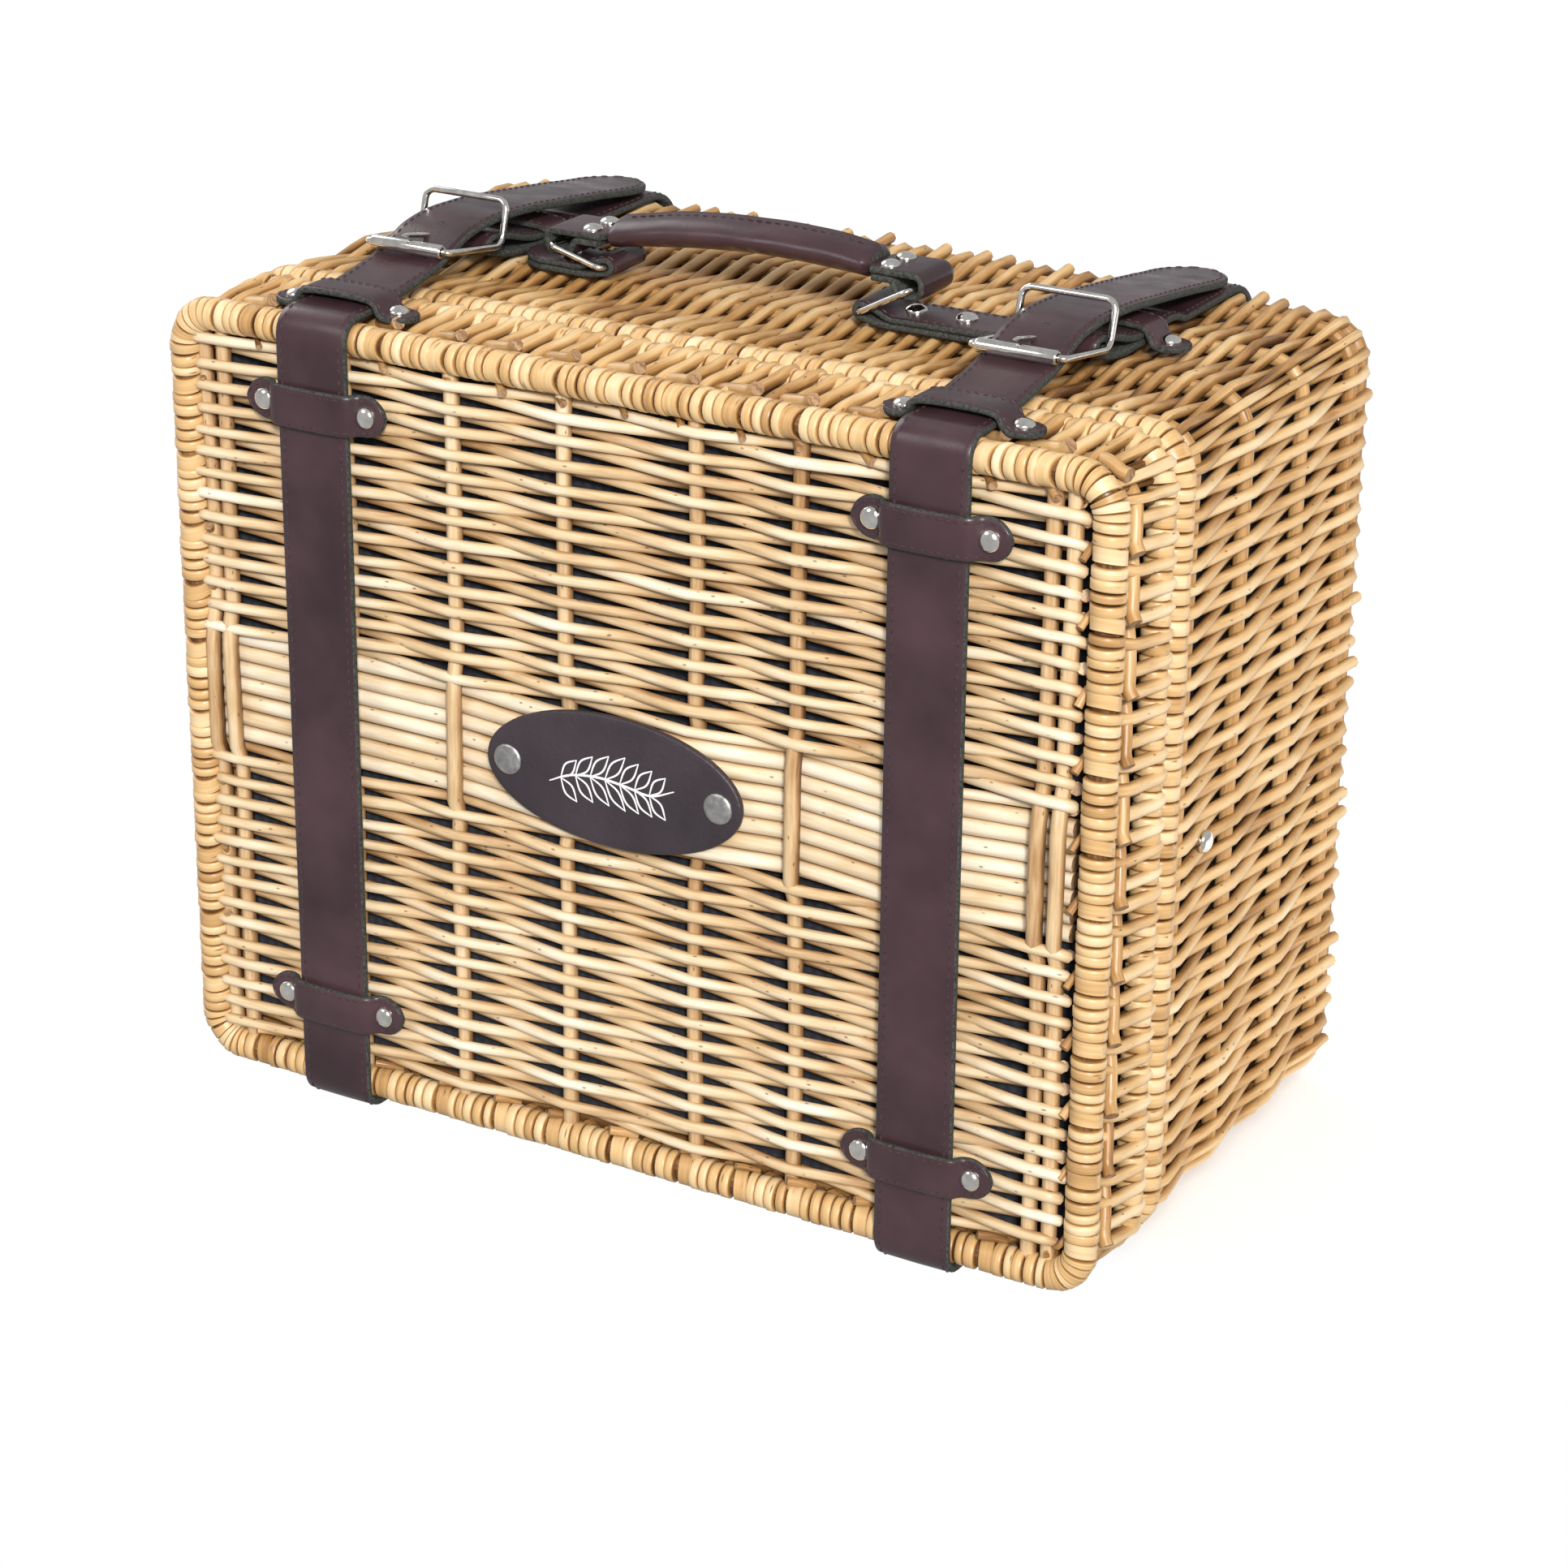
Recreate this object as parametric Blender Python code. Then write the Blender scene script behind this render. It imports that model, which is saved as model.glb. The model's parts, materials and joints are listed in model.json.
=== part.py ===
"""A willow suitcase hamper with leather belts, standing on its hinge side.

X runs along the width, Y from the lid face (-Y) to the back panel (+Y), Z up.
The origin is at the middle of the bounding box's underside. Metres throughout.
"""

import math

import bmesh
import bpy
from mathutils import Matrix, Vector

MM = 0.001

# ---- driving dimensions -------------------------------------------------------------
WIDTH = 400 * MM  # across the border rolls
HEIGHT = 320 * MM  # floor to the top of the border rolls
DEPTH = 228 * MM  # lid face to back panel, over the wicker
LID_DEPTH = 50 * MM
PARTING_GAP = 1.2 * MM  # between lid and body
GAP = 0.3 * MM  # between faces that touch

BELT_WIDTH = 31 * MM
BELT_THICK = 2.6 * MM
BELT_X = 129 * MM  # belt centre line, left and right
KEEPER_WIDTH = 16 * MM
KEEPER_THICK = 2.2 * MM
KEEPER_HALF = 31 * MM  # half length over the rounded ends
RIVET_X = 22.8 * MM  # rivet centre from the belt's centre
RIVET_RADIUS = 4.3 * MM
RIVET_HEIGHT = 2.6 * MM

FRONT_ROLL = 7.0 * MM  # radii of the two border rolls
BODY_ROLL = 7.5 * MM
CORNER = 20 * MM  # outer corner radius of the case, seen from the front
PANEL_RECESS = 2.0 * MM  # lid face behind the front of its border roll
PANEL_THICK = 9 * MM
WALL_INNER = 12.5 * MM  # inset of the lid wall's inner face
BACK_TURN = 14 * MM  # inset at which the body wall meets the back panel
LINING = 1.2 * MM

BELT_LIFT = GAP + BELT_THICK / 2  # belt centre line above the wicker
KEEPER_CREST = GAP + BELT_THICK + GAP + KEEPER_THICK
CASE_FRONT = -DEPTH / 2 + (KEEPER_CREST - GAP - BELT_THICK) / 2
CASE_BASE = GAP + BELT_THICK
HINGE_Y = CASE_FRONT + LID_DEPTH + PARTING_GAP / 2
HINGE_Z = BELT_THICK / 2
HINGE_SLIT = 2.2 * MM  # from the hinge line to each belt's end, so the ends clear in the swing
REAR_WRAP = 15 * MM  # radius of the case's rear edges under the back belt
PRONG_SLOT = ((68 * MM, 4 * MM), (86.5 * MM, 24 * MM), 1.7 * MM)  # low, high, half width
FOLD_SLOT = ((86 * MM, 2 * MM), (102 * MM, 15 * MM), 2.1 * MM)

BADGE_Z = 165 * MM
BADGE_HALF = (55 * MM, 26 * MM)
BADGE_RIVET_X = 45.5 * MM
FRONT_KEEPER_Z = (43 * MM, 287 * MM)
TOP_KEEPER_Y = 22 * MM  # keeper centres, measured back from the lid face
REAR_KEEPER_Y = 138 * MM
BADGE_THICK = 2.6 * MM
BADGE_EDGE = 0.6 * MM  # rounding of the badge's front edge
SIDE_RIVET = (85.6 * MM, 155 * MM)

ROLLER_AT = (61 * MM, 14.0 * MM)  # buckle bars: behind the lid face, above the case
CENTRE_BAR_AT = (96 * MM, 8.7 * MM)
REAR_BAR_AT = (100.5 * MM, 25.5 * MM)
FRAME_WIRE = 1.3 * MM
FRAME_HALF = 18.6 * MM
ARM_BEND = 4 * MM
ARM_CORNER = (2.2 * MM, 0.8 * MM)  # cut at the frame's corners, along the arm and the bar
ROLLER_RADIUS = 2.7 * MM
ROLLER_BORE = 1.6 * MM
ROLLER_HALF = 16.4 * MM
PRONG_WIRE = 1.1 * MM
PRONG_EYE = (3.6 * MM, 1.6 * MM)  # radius and half width
PRONG_LIFT = 1.0 * MM  # the tip's height over the roller

HANDLE_X = -13 * MM  # the handle sits a little left of the middle
HANDLE_Y = 116 * MM
RING_BAR_X = 55.5 * MM  # fixed ring bar from the handle's centre
RING_BAR_H = 4.6 * MM
RING_LENGTH = 24 * MM
RING_TILT = math.radians(28)
RING_WIRE = 1.2 * MM
RING_HALF = 15 * MM
GRIP_HALF = 57 * MM
GRIP_CREST = 24.5 * MM
GRIP_DROP = 4.0 * MM
GRIP_OVAL = (12 * MM, 6 * MM)
GRIP_BORE = (10 * MM, 2.7 * MM)
BAND_HALF_WIDTH = 7 * MM  # the strap inside the grip
TAB_HALF_WIDTH = 12 * MM
TAB_RIVET = (64.5 * MM, 6 * MM)  # along the handle, and to each side
HANDLE_THICK = 2.4 * MM
RING_CORNER = 2.0 * MM
PATCH_HALF_WIDTH = 12.5 * MM
PATCH_LIFT = 0.5 * MM  # centre line of the patch's lower layer above the case

COLOURS = {
    "willow": ((0.72, 0.50, 0.24, 1), 0.55, 0.0),
    "willow_roll": ((0.78, 0.57, 0.30, 1), 0.50, 0.0),
    "lining": ((0.02, 0.02, 0.03, 1), 0.90, 0.0),
    "leather": ((0.05, 0.022, 0.022, 1), 0.38, 0.0),
    "badge": ((0.03, 0.022, 0.02, 1), 0.60, 0.0),
    "nickel": ((0.72, 0.68, 0.60, 1), 0.18, 1.0),
}


# ---- small helpers -------------------------------------------------------------------
def clear_scene():
    for item in list(bpy.data.objects):
        bpy.data.objects.remove(item, do_unlink=True)


def material(name, slot):
    colour, roughness, metallic = COLOURS[slot]
    made = bpy.data.materials.new(name + "_finish")
    made.use_nodes = True
    shader = made.node_tree.nodes["Principled BSDF"]
    shader.inputs["Base Color"].default_value = colour
    shader.inputs["Roughness"].default_value = roughness
    shader.inputs["Metallic"].default_value = metallic
    return made


def add(name, bm, slot, axis=None):
    """Make an object from a bmesh in world coordinates, with its origin at axis."""
    bmesh.ops.remove_doubles(bm, verts=bm.verts, dist=1e-6)
    bmesh.ops.recalc_face_normals(bm, faces=bm.faces)
    mesh = bpy.data.meshes.new(name)
    bm.to_mesh(mesh)
    bm.free()
    item = bpy.data.objects.new(name, mesh)
    bpy.context.scene.collection.objects.link(item)
    if axis is not None:
        mesh.transform(Matrix.Translation(-Vector(axis)))
        item.location = axis
    mesh.shade_smooth()
    mesh.set_sharp_from_angle(angle=math.radians(40))
    mesh.materials.append(material(name, slot))
    return item


def cut(item, cutter, operation="DIFFERENCE"):
    """Boolean item with cutter, which stays in the scene as a hidden guide."""
    cutter.hide_render = True
    cutter.display_type = "WIRE"
    step = item.modifiers.new("cut_" + cutter.name, "BOOLEAN")
    step.operation = operation
    step.solver = "EXACT"
    step.object = cutter


def behind(y, h):
    """World Y and Z of a place y behind the lid face and h above the case."""
    return CASE_FRONT + y, HEIGHT + h


def fillet(points, radii, segments=5):
    """Round the corners of a 2D polyline; radii has one value per inner corner."""
    points = [Vector(p) for p in points]
    path = [points[0]]
    for before, corner, after, radius in zip(points, points[1:], points[2:], radii, strict=False):
        a, b = (before - corner).normalized(), (after - corner).normalized()
        half = a.angle(b) / 2
        reach = radius / math.tan(half)
        centre = corner + (a + b).normalized() * (radius / math.sin(half))
        start, end = corner + a * reach - centre, corner + b * reach - centre
        sweep = start.angle_signed(end)
        for i in range(segments + 1):
            turn = Matrix.Rotation(-sweep * i / segments, 2)
            path.append(centre + turn @ start)
    path.append(points[-1])
    return path


def spline(points, steps=6):
    """A smooth 2D curve through hand-chosen points."""
    points = [Vector(p) for p in points]
    ends = [2 * points[0] - points[1]] + points + [2 * points[-1] - points[-2]]
    path = []
    for a, b, c, d in zip(ends, ends[1:], ends[2:], ends[3:], strict=False):
        for i in range(steps):
            t = i / steps
            path.append(0.5 * (2 * b + (c - a) * t + (2 * a - 5 * b + 4 * c - d) * t * t
                               + (3 * b - a - 3 * c + d) * t ** 3))
    return path + [points[-1]]


def round_ends(path, half, first=0.0, last=0.0, steps=5):
    """Give each path point a half width, rounding an end over the length named."""
    lengths = [0.0]
    for a, b in zip(path, path[1:], strict=False):
        lengths.append(lengths[-1] + (b - a).length)
    total = lengths[-1]
    marks = set()
    for i in range(1, steps + 1):
        share = 1 - math.cos(math.pi / 2 * i / steps)
        if first:
            marks.add(first * share)
        if last:
            marks.add(total - last * share)
    points, widths = [], []
    kept = -total
    for s in sorted(set(lengths) | marks):
        if s - kept < 0.05 * MM:
            continue
        kept = s
        i = min(max(k for k, length in enumerate(lengths) if length <= s), len(path) - 2)
        span = lengths[i + 1] - lengths[i]
        points.append(path[i].lerp(path[i + 1], (s - lengths[i]) / span))
        width = half
        for length, away in ((first, s), (last, total - s)):
            if length and away < length:
                width = half * max(0.3, math.sqrt(1 - (1 - away / length) ** 2))
        widths.append(width)
    return points, widths


def strip(name, path, widths, thickness, place, slot="leather", axis=None):
    """A leather band: path in its own plane, place(u, v, w) gives the world point."""
    bm = bmesh.new()
    rings = []
    for i, point in enumerate(path):
        ahead = (path[min(i + 1, len(path) - 1)] - path[i]) if i + 1 < len(path) else None
        back = (path[i] - path[i - 1]) if i else None
        ahead = (ahead or back).normalized()
        back = (back or ahead).normalized()
        mean = (ahead + back).normalized()
        normal = Vector((-mean.y, mean.x)) * (thickness / 2 / max(mean.dot(ahead), 0.5))
        w = widths[i]
        corners = [(point + normal, -w), (point + normal, w), (point - normal, w), (point - normal, -w)]
        rings.append([bm.verts.new(place(p.x, p.y, side)) for p, side in corners])
    for a, b in zip(rings, rings[1:], strict=False):
        for k in range(4):
            bm.faces.new((a[k], a[(k + 1) % 4], b[(k + 1) % 4], b[k]))
    bm.faces.new(rings[0])
    bm.faces.new(rings[-1])
    return add(name, bm, slot, axis)


def case_loop(inset, y, per_corner=5):
    """A rounded rectangle round the case at one depth, inset from its outer faces."""
    half = WIDTH / 2 - inset
    low, high = CASE_BASE + inset, HEIGHT - inset
    radius = max(CORNER - inset, 4 * MM)
    centres = [(half - radius, high - radius, 0), (-half + radius, high - radius, 90),
               (-half + radius, low + radius, 180), (half - radius, low + radius, 270)]
    loop = []
    for x, z, start in centres:
        for i in range(per_corner):
            turn = math.radians(start + 90 * i / (per_corner - 1))
            loop.append((x + radius * math.cos(turn), y, z + radius * math.sin(turn)))
    return loop


def bridge(bm, a, b):
    count = len(a)
    for k in range(count):
        bm.faces.new((a[k], a[(k + 1) % count], b[(k + 1) % count], b[k]))


def case_ring(name, profile, slot):
    """Sweep a closed (inset, depth) profile round the case."""
    bm = bmesh.new()
    loops = [[bm.verts.new(p) for p in case_loop(inset, CASE_FRONT + y)] for inset, y in profile]
    for a, b in zip(loops, loops[1:] + loops[:1], strict=False):
        bridge(bm, a, b)
    return add(name, bm, slot)


def case_cup(name, profile, slot):
    """Sweep an open (inset, depth) profile round the case and cap both of its ends."""
    bm = bmesh.new()
    loops = [[bm.verts.new(p) for p in case_loop(inset, CASE_FRONT + y)] for inset, y in profile]
    for a, b in zip(loops, loops[1:], strict=False):
        bridge(bm, a, b)
    bm.faces.new(loops[0])
    bm.faces.new(loops[-1])
    return add(name, bm, slot)


def round_profile(radius, inset, y, sides=10):
    turns = [2 * math.pi * k / sides for k in range(sides)]
    return [(inset + radius * math.cos(t), y + radius * math.sin(t)) for t in turns]


def dome(name, centre, normal, radius=RIVET_RADIUS, height=RIVET_HEIGHT, slot="nickel"):
    """A domed rivet head whose flat face sits at centre."""
    bm = bmesh.new()
    sides, rings = 12, 3
    levels = []
    for j in range(rings):
        turn = math.pi / 2 * j / rings
        levels.append([bm.verts.new((radius * math.cos(turn) * math.cos(2 * math.pi * k / sides),
                                     radius * math.cos(turn) * math.sin(2 * math.pi * k / sides),
                                     height * math.sin(turn))) for k in range(sides)])
    top = bm.verts.new((0, 0, height))
    for a, b in zip(levels, levels[1:], strict=False):
        bridge(bm, a, b)
    for k in range(sides):
        bm.faces.new((levels[-1][k], levels[-1][(k + 1) % sides], top))
    bm.faces.new(levels[0])
    turn = Vector((0, 0, 1)).rotation_difference(Vector(normal)).to_matrix().to_4x4()
    bmesh.ops.transform(bm, matrix=Matrix.Translation(centre) @ turn, verts=bm.verts)
    return add(name, bm, slot)


def wire(name, points, radius, closed=False, slot="nickel", axis=None):
    """A round wire through the points, as a mesh."""
    curve = bpy.data.curves.new(name, "CURVE")
    curve.dimensions = "3D"
    curve.bevel_depth = radius
    curve.bevel_resolution = 2
    curve.use_fill_caps = True
    curve.twist_mode = "MINIMUM"
    line = curve.splines.new("POLY")
    line.points.add(len(points) - 1)
    for knot, point in zip(line.points, points, strict=True):
        knot.co = (*point, 1)
    line.use_cyclic_u = closed
    guide = bpy.data.objects.new(name + "_line", curve)
    bpy.context.scene.collection.objects.link(guide)
    bpy.context.view_layer.update()
    bm = bmesh.new()
    shape = bpy.data.meshes.new_from_object(guide)
    bm.from_mesh(shape)
    bpy.data.objects.remove(guide, do_unlink=True)
    return add(name, bm, slot, axis)


def rod(name, start, end, radius, sides=12, bore=0.0, slot="nickel", axis=None):
    """A straight bar, or a tube where bore is given."""
    start, end = Vector(start), Vector(end)
    turn = Vector((0, 0, 1)).rotation_difference(end - start).to_matrix()
    bm = bmesh.new()

    def circle(at, size):
        spots = [(math.cos(2 * math.pi * k / sides), math.sin(2 * math.pi * k / sides)) for k in range(sides)]
        return [bm.verts.new(at + turn @ Vector((size * c, size * s, 0))) for c, s in spots]

    loops = [circle(start, radius), circle(end, radius)]
    bridge(bm, *loops)
    if bore:
        inner = [circle(end, bore), circle(start, bore)]
        bridge(bm, loops[1], inner[0])
        bridge(bm, *inner)
        bridge(bm, inner[1], loops[0])
    else:
        for loop in loops:
            bm.faces.new(loop)
    return add(name, bm, slot, axis)


def box(name, low, high):
    bm = bmesh.new()
    bmesh.ops.create_cube(bm, size=1.0)
    size = [b - a for a, b in zip(low, high, strict=True)]
    middle = [(a + b) / 2 for a, b in zip(low, high, strict=True)]
    bmesh.ops.scale(bm, vec=size, verts=bm.verts)
    bmesh.ops.translate(bm, vec=middle, verts=bm.verts)
    return add(name, bm, "nickel")


# ---- wicker case ---------------------------------------------------------------------
def lid_shell():
    case_ring("lid_front_roll", round_profile(FRONT_ROLL, FRONT_ROLL, FRONT_ROLL), "willow_roll")
    roll_back = 2 * FRONT_ROLL + GAP
    back = PANEL_RECESS + PANEL_THICK
    case_cup("lid_face_panel", [(roll_back, PANEL_RECESS), (roll_back, back)], "willow")
    case_ring("lid_side_wall", [
        (3.5 * MM, roll_back), (3.5 * MM, 38 * MM), (0.6 * MM, 40.5 * MM), (0, 44.5 * MM),
        (1.0 * MM, 48.4 * MM), (4 * MM, LID_DEPTH), (9 * MM, LID_DEPTH),
        (WALL_INNER, 47 * MM), (WALL_INNER, roll_back)], "willow")
    outer = 2 * FRONT_ROLL + 2 * GAP
    near, far = back + GAP, LID_DEPTH - GAP
    case_cup("lid_lining", [
        (outer, near), (outer, far), (outer + LINING, far), (outer + LINING, near + LINING)], "lining")


def body_shell():
    start = LID_DEPTH + PARTING_GAP
    case_ring("body_rim_roll", round_profile(BODY_ROLL, BODY_ROLL, start + BODY_ROLL), "willow_roll")
    wall = start + 2 * BODY_ROLL + GAP
    case_ring("body_side_wall", [
        (2.2 * MM, wall), (1.0 * MM, 110 * MM), (1.0 * MM, 170 * MM), (2.0 * MM, 205 * MM),
        (3.8 * MM, 214 * MM), (7.8 * MM, 222 * MM), (BACK_TURN, DEPTH - 0.6 * MM),
        (BACK_TURN, DEPTH - 9.5 * MM), (11 * MM, 212 * MM), (10.5 * MM, wall)], "willow")
    back_front = DEPTH - PANEL_THICK
    edge = BACK_TURN + GAP
    case_cup("body_back_panel", [(edge, DEPTH), (edge, back_front)], "willow")
    outer = 2 * BODY_ROLL + GAP
    far = back_front - GAP
    case_cup("body_lining", [
        (outer, far), (outer, start + GAP), (outer + LINING, start + GAP),
        (outer + LINING, far - LINING)], "lining")


# ---- belts ---------------------------------------------------------------------------
def belt_place(x):
    return lambda y, z, w: (x + w, y, z)


def belt_slot(belt, name, x, space):
    (low_y, low_h), (high_y, high_h), half = space
    cutter = box(name, (x - half, *behind(low_y, low_h)), (x + half, *behind(high_y, high_h)))
    cut(belt, cutter)


def front_belt(side, x):
    """From the hinge line, under the lid, up its face, over the top and through the buckle."""
    front = CASE_FRONT - BELT_LIFT
    wrap = FRONT_ROLL + BELT_LIFT
    over = fillet([(HINGE_Y - HINGE_SLIT, HINGE_Z), (front, HINGE_Z), (front, HEIGHT + BELT_LIFT),
                   behind(10 * MM, BELT_LIFT)], (wrap, wrap))
    route = [(20, 2.3), (38, 4.6), (58, 8.2), (66, 10.8), (73, 13.6), (81, 16.2), (95, 17.9),
             (110, 17.6), (125, 16.6), (142, 14.6), (171, 11.0), (195, 7.6), (218, 5.2)]
    top = spline([tuple(over[-1])] + [behind(y * MM, h * MM) for y, h in route], steps=3)
    path, widths = round_ends(over[:-1] + top, BELT_WIDTH / 2, last=20 * MM)
    belt = strip("belt_front_" + side, path, widths, BELT_THICK, belt_place(x))
    belt_slot(belt, "prong_slot_" + side, x, PRONG_SLOT)


def back_belt(side, x):
    """From the hinge line, under the body, up the back, over the top and round the bar."""
    back = CASE_FRONT + DEPTH + BELT_LIFT
    wrap = REAR_WRAP + BELT_LIFT
    centre = Vector(behind(*CENTRE_BAR_AT))
    bend = FRAME_WIRE + GAP + BELT_THICK / 2
    under = fillet([(HINGE_Y + HINGE_SLIT, HINGE_Z), (back, HINGE_Z), (back, HEIGHT + BELT_LIFT),
                    behind(168 * MM, BELT_LIFT)], (wrap, wrap))
    upper = BELT_LIFT + BELT_THICK + GAP
    rise = spline([tuple(under[-1])] + [behind(y * MM, h) for y, h in
                  ((158, upper), (140, upper), (124, upper + 0.6 * MM), (108, 9.4 * MM))]
                  + [tuple(centre + Vector((1.5 * MM, bend)))], steps=3)
    fold = [centre + bend * Vector((math.cos(t), math.sin(t)))
            for t in (math.radians(90 + 20 * k) for k in range(10))]
    lower = spline([tuple(fold[-1])] + [behind(y * MM, h * MM) for y, h in
                   ((106, 3.0), (118, 1.6), (134, 1.6), (148, 1.6))], steps=3)
    path = under[:-1] + rise + fold + lower[1:]
    belt = strip("belt_back_" + side, path, [BELT_WIDTH / 2] * len(path), BELT_THICK, belt_place(x))
    belt_slot(belt, "fold_slot_" + side, x, FOLD_SLOT)


def keeper_path(base, crest):
    """Half section of a loop over a belt: flat ends, steep sides, flat crest."""
    over = BELT_WIDTH / 2 + GAP + KEEPER_THICK / 2
    bend = 1.3 * MM
    return fillet([(-KEEPER_HALF, base), (-over, base), (-over, crest), (over, crest),
                   (over, base), (KEEPER_HALF, base)], (bend,) * 4, segments=3)


def keeper(name, x, base, crest, place):
    path, widths = round_ends(keeper_path(base, crest), KEEPER_WIDTH / 2,
                              first=8 * MM, last=8 * MM, steps=4)
    strip(name, path, widths, KEEPER_THICK, place)


def keepers(side, x):
    seat = CASE_FRONT + PANEL_RECESS - GAP - KEEPER_THICK / 2
    crest = CASE_FRONT - KEEPER_CREST + KEEPER_THICK / 2
    for level, z in zip(("lower", "upper"), FRONT_KEEPER_Z, strict=True):
        keeper(f"keeper_{level}_{side}", x, seat, crest, lambda u, v, w, z=z: (x + u, v, z + w))
        for end, way in (("a", -1), ("b", 1)):
            centre = (x + way * RIVET_X, seat - KEEPER_THICK / 2 - GAP, z)
            dome(f"rivet_{level}_{side}_{end}", centre, (0, -1, 0))
    for level, depth, base, top in (("top", TOP_KEEPER_Y, 0.1 * MM, 6.2 * MM),
                                    ("rear", REAR_KEEPER_Y, 0.5 * MM, 7.6 * MM)):
        y = CASE_FRONT + depth
        keeper(f"keeper_{level}_{side}", x, HEIGHT + base, HEIGHT + top,
               lambda u, v, w, y=y: (x + u, y + w, v))
        for end, way in (("a", -1), ("b", 1)):
            centre = (x + way * RIVET_X, y, HEIGHT + base + KEEPER_THICK / 2 + GAP)
            dome(f"rivet_{level}_{side}_{end}", centre, (0, 0, 1))


# ---- buckles -------------------------------------------------------------------------
def buckle(side, x):
    roller = Vector((0, *behind(*ROLLER_AT)))
    pivot = Vector((0, *behind(*CENTRE_BAR_AT)))
    rear = Vector((0, *behind(*REAR_BAR_AT)))
    axis = (x, pivot.y, pivot.z)

    def arm(way):
        """One side of the frame, bent at the centre bar, with a cut corner at each end."""
        along, across = ARM_CORNER
        bent = fillet([(p.y, p.z) for p in (roller, pivot, rear)], (ARM_BEND,), segments=4)
        points = [Vector((x + way * FRAME_HALF, *p)) for p in bent]
        inward = Vector((way * across, 0, 0))
        first = [points[0] - inward, points[0].lerp(points[1], along / (points[1] - points[0]).length)]
        last = [points[-1].lerp(points[-2], along / (points[-2] - points[-1]).length), points[-1] - inward]
        return first + points[1:-1] + last

    right, left = arm(1), arm(-1)
    frame = wire("buckle_frame_" + side, right + left[::-1], FRAME_WIRE, closed=True, axis=axis)
    reach = Vector((FRAME_HALF, 0, 0))
    centre = Vector(axis)
    bar = rod("centre_bar_" + side, centre - reach, centre + reach, FRAME_WIRE, sides=8)
    cut(frame, bar, "UNION")

    hub = Vector((x, roller.y, roller.z))
    half = Vector((ROLLER_HALF, 0, 0))
    rod("buckle_roller_" + side, hub - half, hub + half, ROLLER_RADIUS, bore=ROLLER_BORE,
        axis=tuple(hub))

    eye_radius, eye_half = PRONG_EYE
    eye = Vector((eye_half, 0, 0))
    prong = rod("buckle_prong_" + side, centre - eye, centre + eye, eye_radius,
                bore=FRAME_WIRE + GAP, axis=axis)
    tip = hub + Vector((0, -3 * MM, ROLLER_RADIUS + GAP + PRONG_WIRE + PRONG_LIFT))
    root = centre + (tip - centre).normalized() * (eye_radius - 0.9 * MM)
    blade = rod("prong_blade_" + side, root, tip, PRONG_WIRE, sides=8)
    cut(prong, blade, "UNION")


# ---- handle --------------------------------------------------------------------------
def handle_height(x):
    return GRIP_CREST - GRIP_DROP * (x / GRIP_HALF) ** 2


def handle_strap():
    """One band through the grip, folded round a ring at each end and riveted to itself."""
    high = handle_height(GRIP_HALF)
    low = high - HANDLE_THICK - GAP
    ring_x = RING_BAR_X + RING_LENGTH * math.cos(RING_TILT)
    ring_h = RING_BAR_H + RING_LENGTH * math.sin(RING_TILT)
    outer = ring_x + 3.4 * MM
    floor = ring_h - RING_WIRE - 0.9 * MM - HANDLE_THICK / 2
    end = fillet([(59.5 * MM, low), (ring_x - 9 * MM, low), (ring_x - 6.5 * MM, floor),
                  (outer, floor), (outer, high), (GRIP_HALF + 2 * MM, high)],
                 (1.6 * MM, 1.6 * MM, 3.2 * MM, 3.2 * MM), segments=3)
    count = 14
    arch = [Vector((x, handle_height(x))) for x in
            (GRIP_HALF * (1 - 2 * k / count) for k in range(count + 1))]
    path = end + arch + [Vector((-p.x, p.y)) for p in end[::-1]]
    widths = [TAB_HALF_WIDTH if abs(p.x) > GRIP_HALF + GAP else BAND_HALF_WIDTH for p in path]
    y = CASE_FRONT + HANDLE_Y
    strip("handle_strap", path, widths, HANDLE_THICK,
          lambda u, v, w: (HANDLE_X + u, y + w, HEIGHT + v))
    along, aside = TAB_RIVET
    for side, way in (("left", -1), ("right", 1)):
        for place, shift in (("front", -aside), ("back", aside)):
            centre = (HANDLE_X + way * along, y + shift, HEIGHT + high + HANDLE_THICK / 2 + GAP)
            dome(f"rivet_handle_{side}_{place}", centre, (0, 0, 1), radius=3.8 * MM, height=2.2 * MM)


def handle_grip():
    """A padded oval sleeve with a flat bore for the band."""
    y = CASE_FRONT + HANDLE_Y
    bm = bmesh.new()
    sides, count = 16, 14
    outer, inner = [], []
    for k in range(count + 1):
        u = (GRIP_HALF - GAP) * (2 * k / count - 1)
        slim = 1 - 0.12 * abs(u / GRIP_HALF) ** 4
        for loops, (wide, tall), scale in ((outer, GRIP_OVAL, slim), (inner, GRIP_BORE, 1)):
            loop = []
            for j in range(sides):
                t = 2 * math.pi * j / sides
                height = HEIGHT + handle_height(u) + scale * tall * math.sin(t)
                loop.append(bm.verts.new((HANDLE_X + u, y + scale * wide * math.cos(t), height)))
            loops.append(loop)
    for loops in (outer, inner):
        for a, b in zip(loops, loops[1:], strict=False):
            bridge(bm, a, b)
    bridge(bm, outer[0], inner[0])
    bridge(bm, outer[-1], inner[-1])
    add("handle_grip", bm, "leather")


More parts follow.
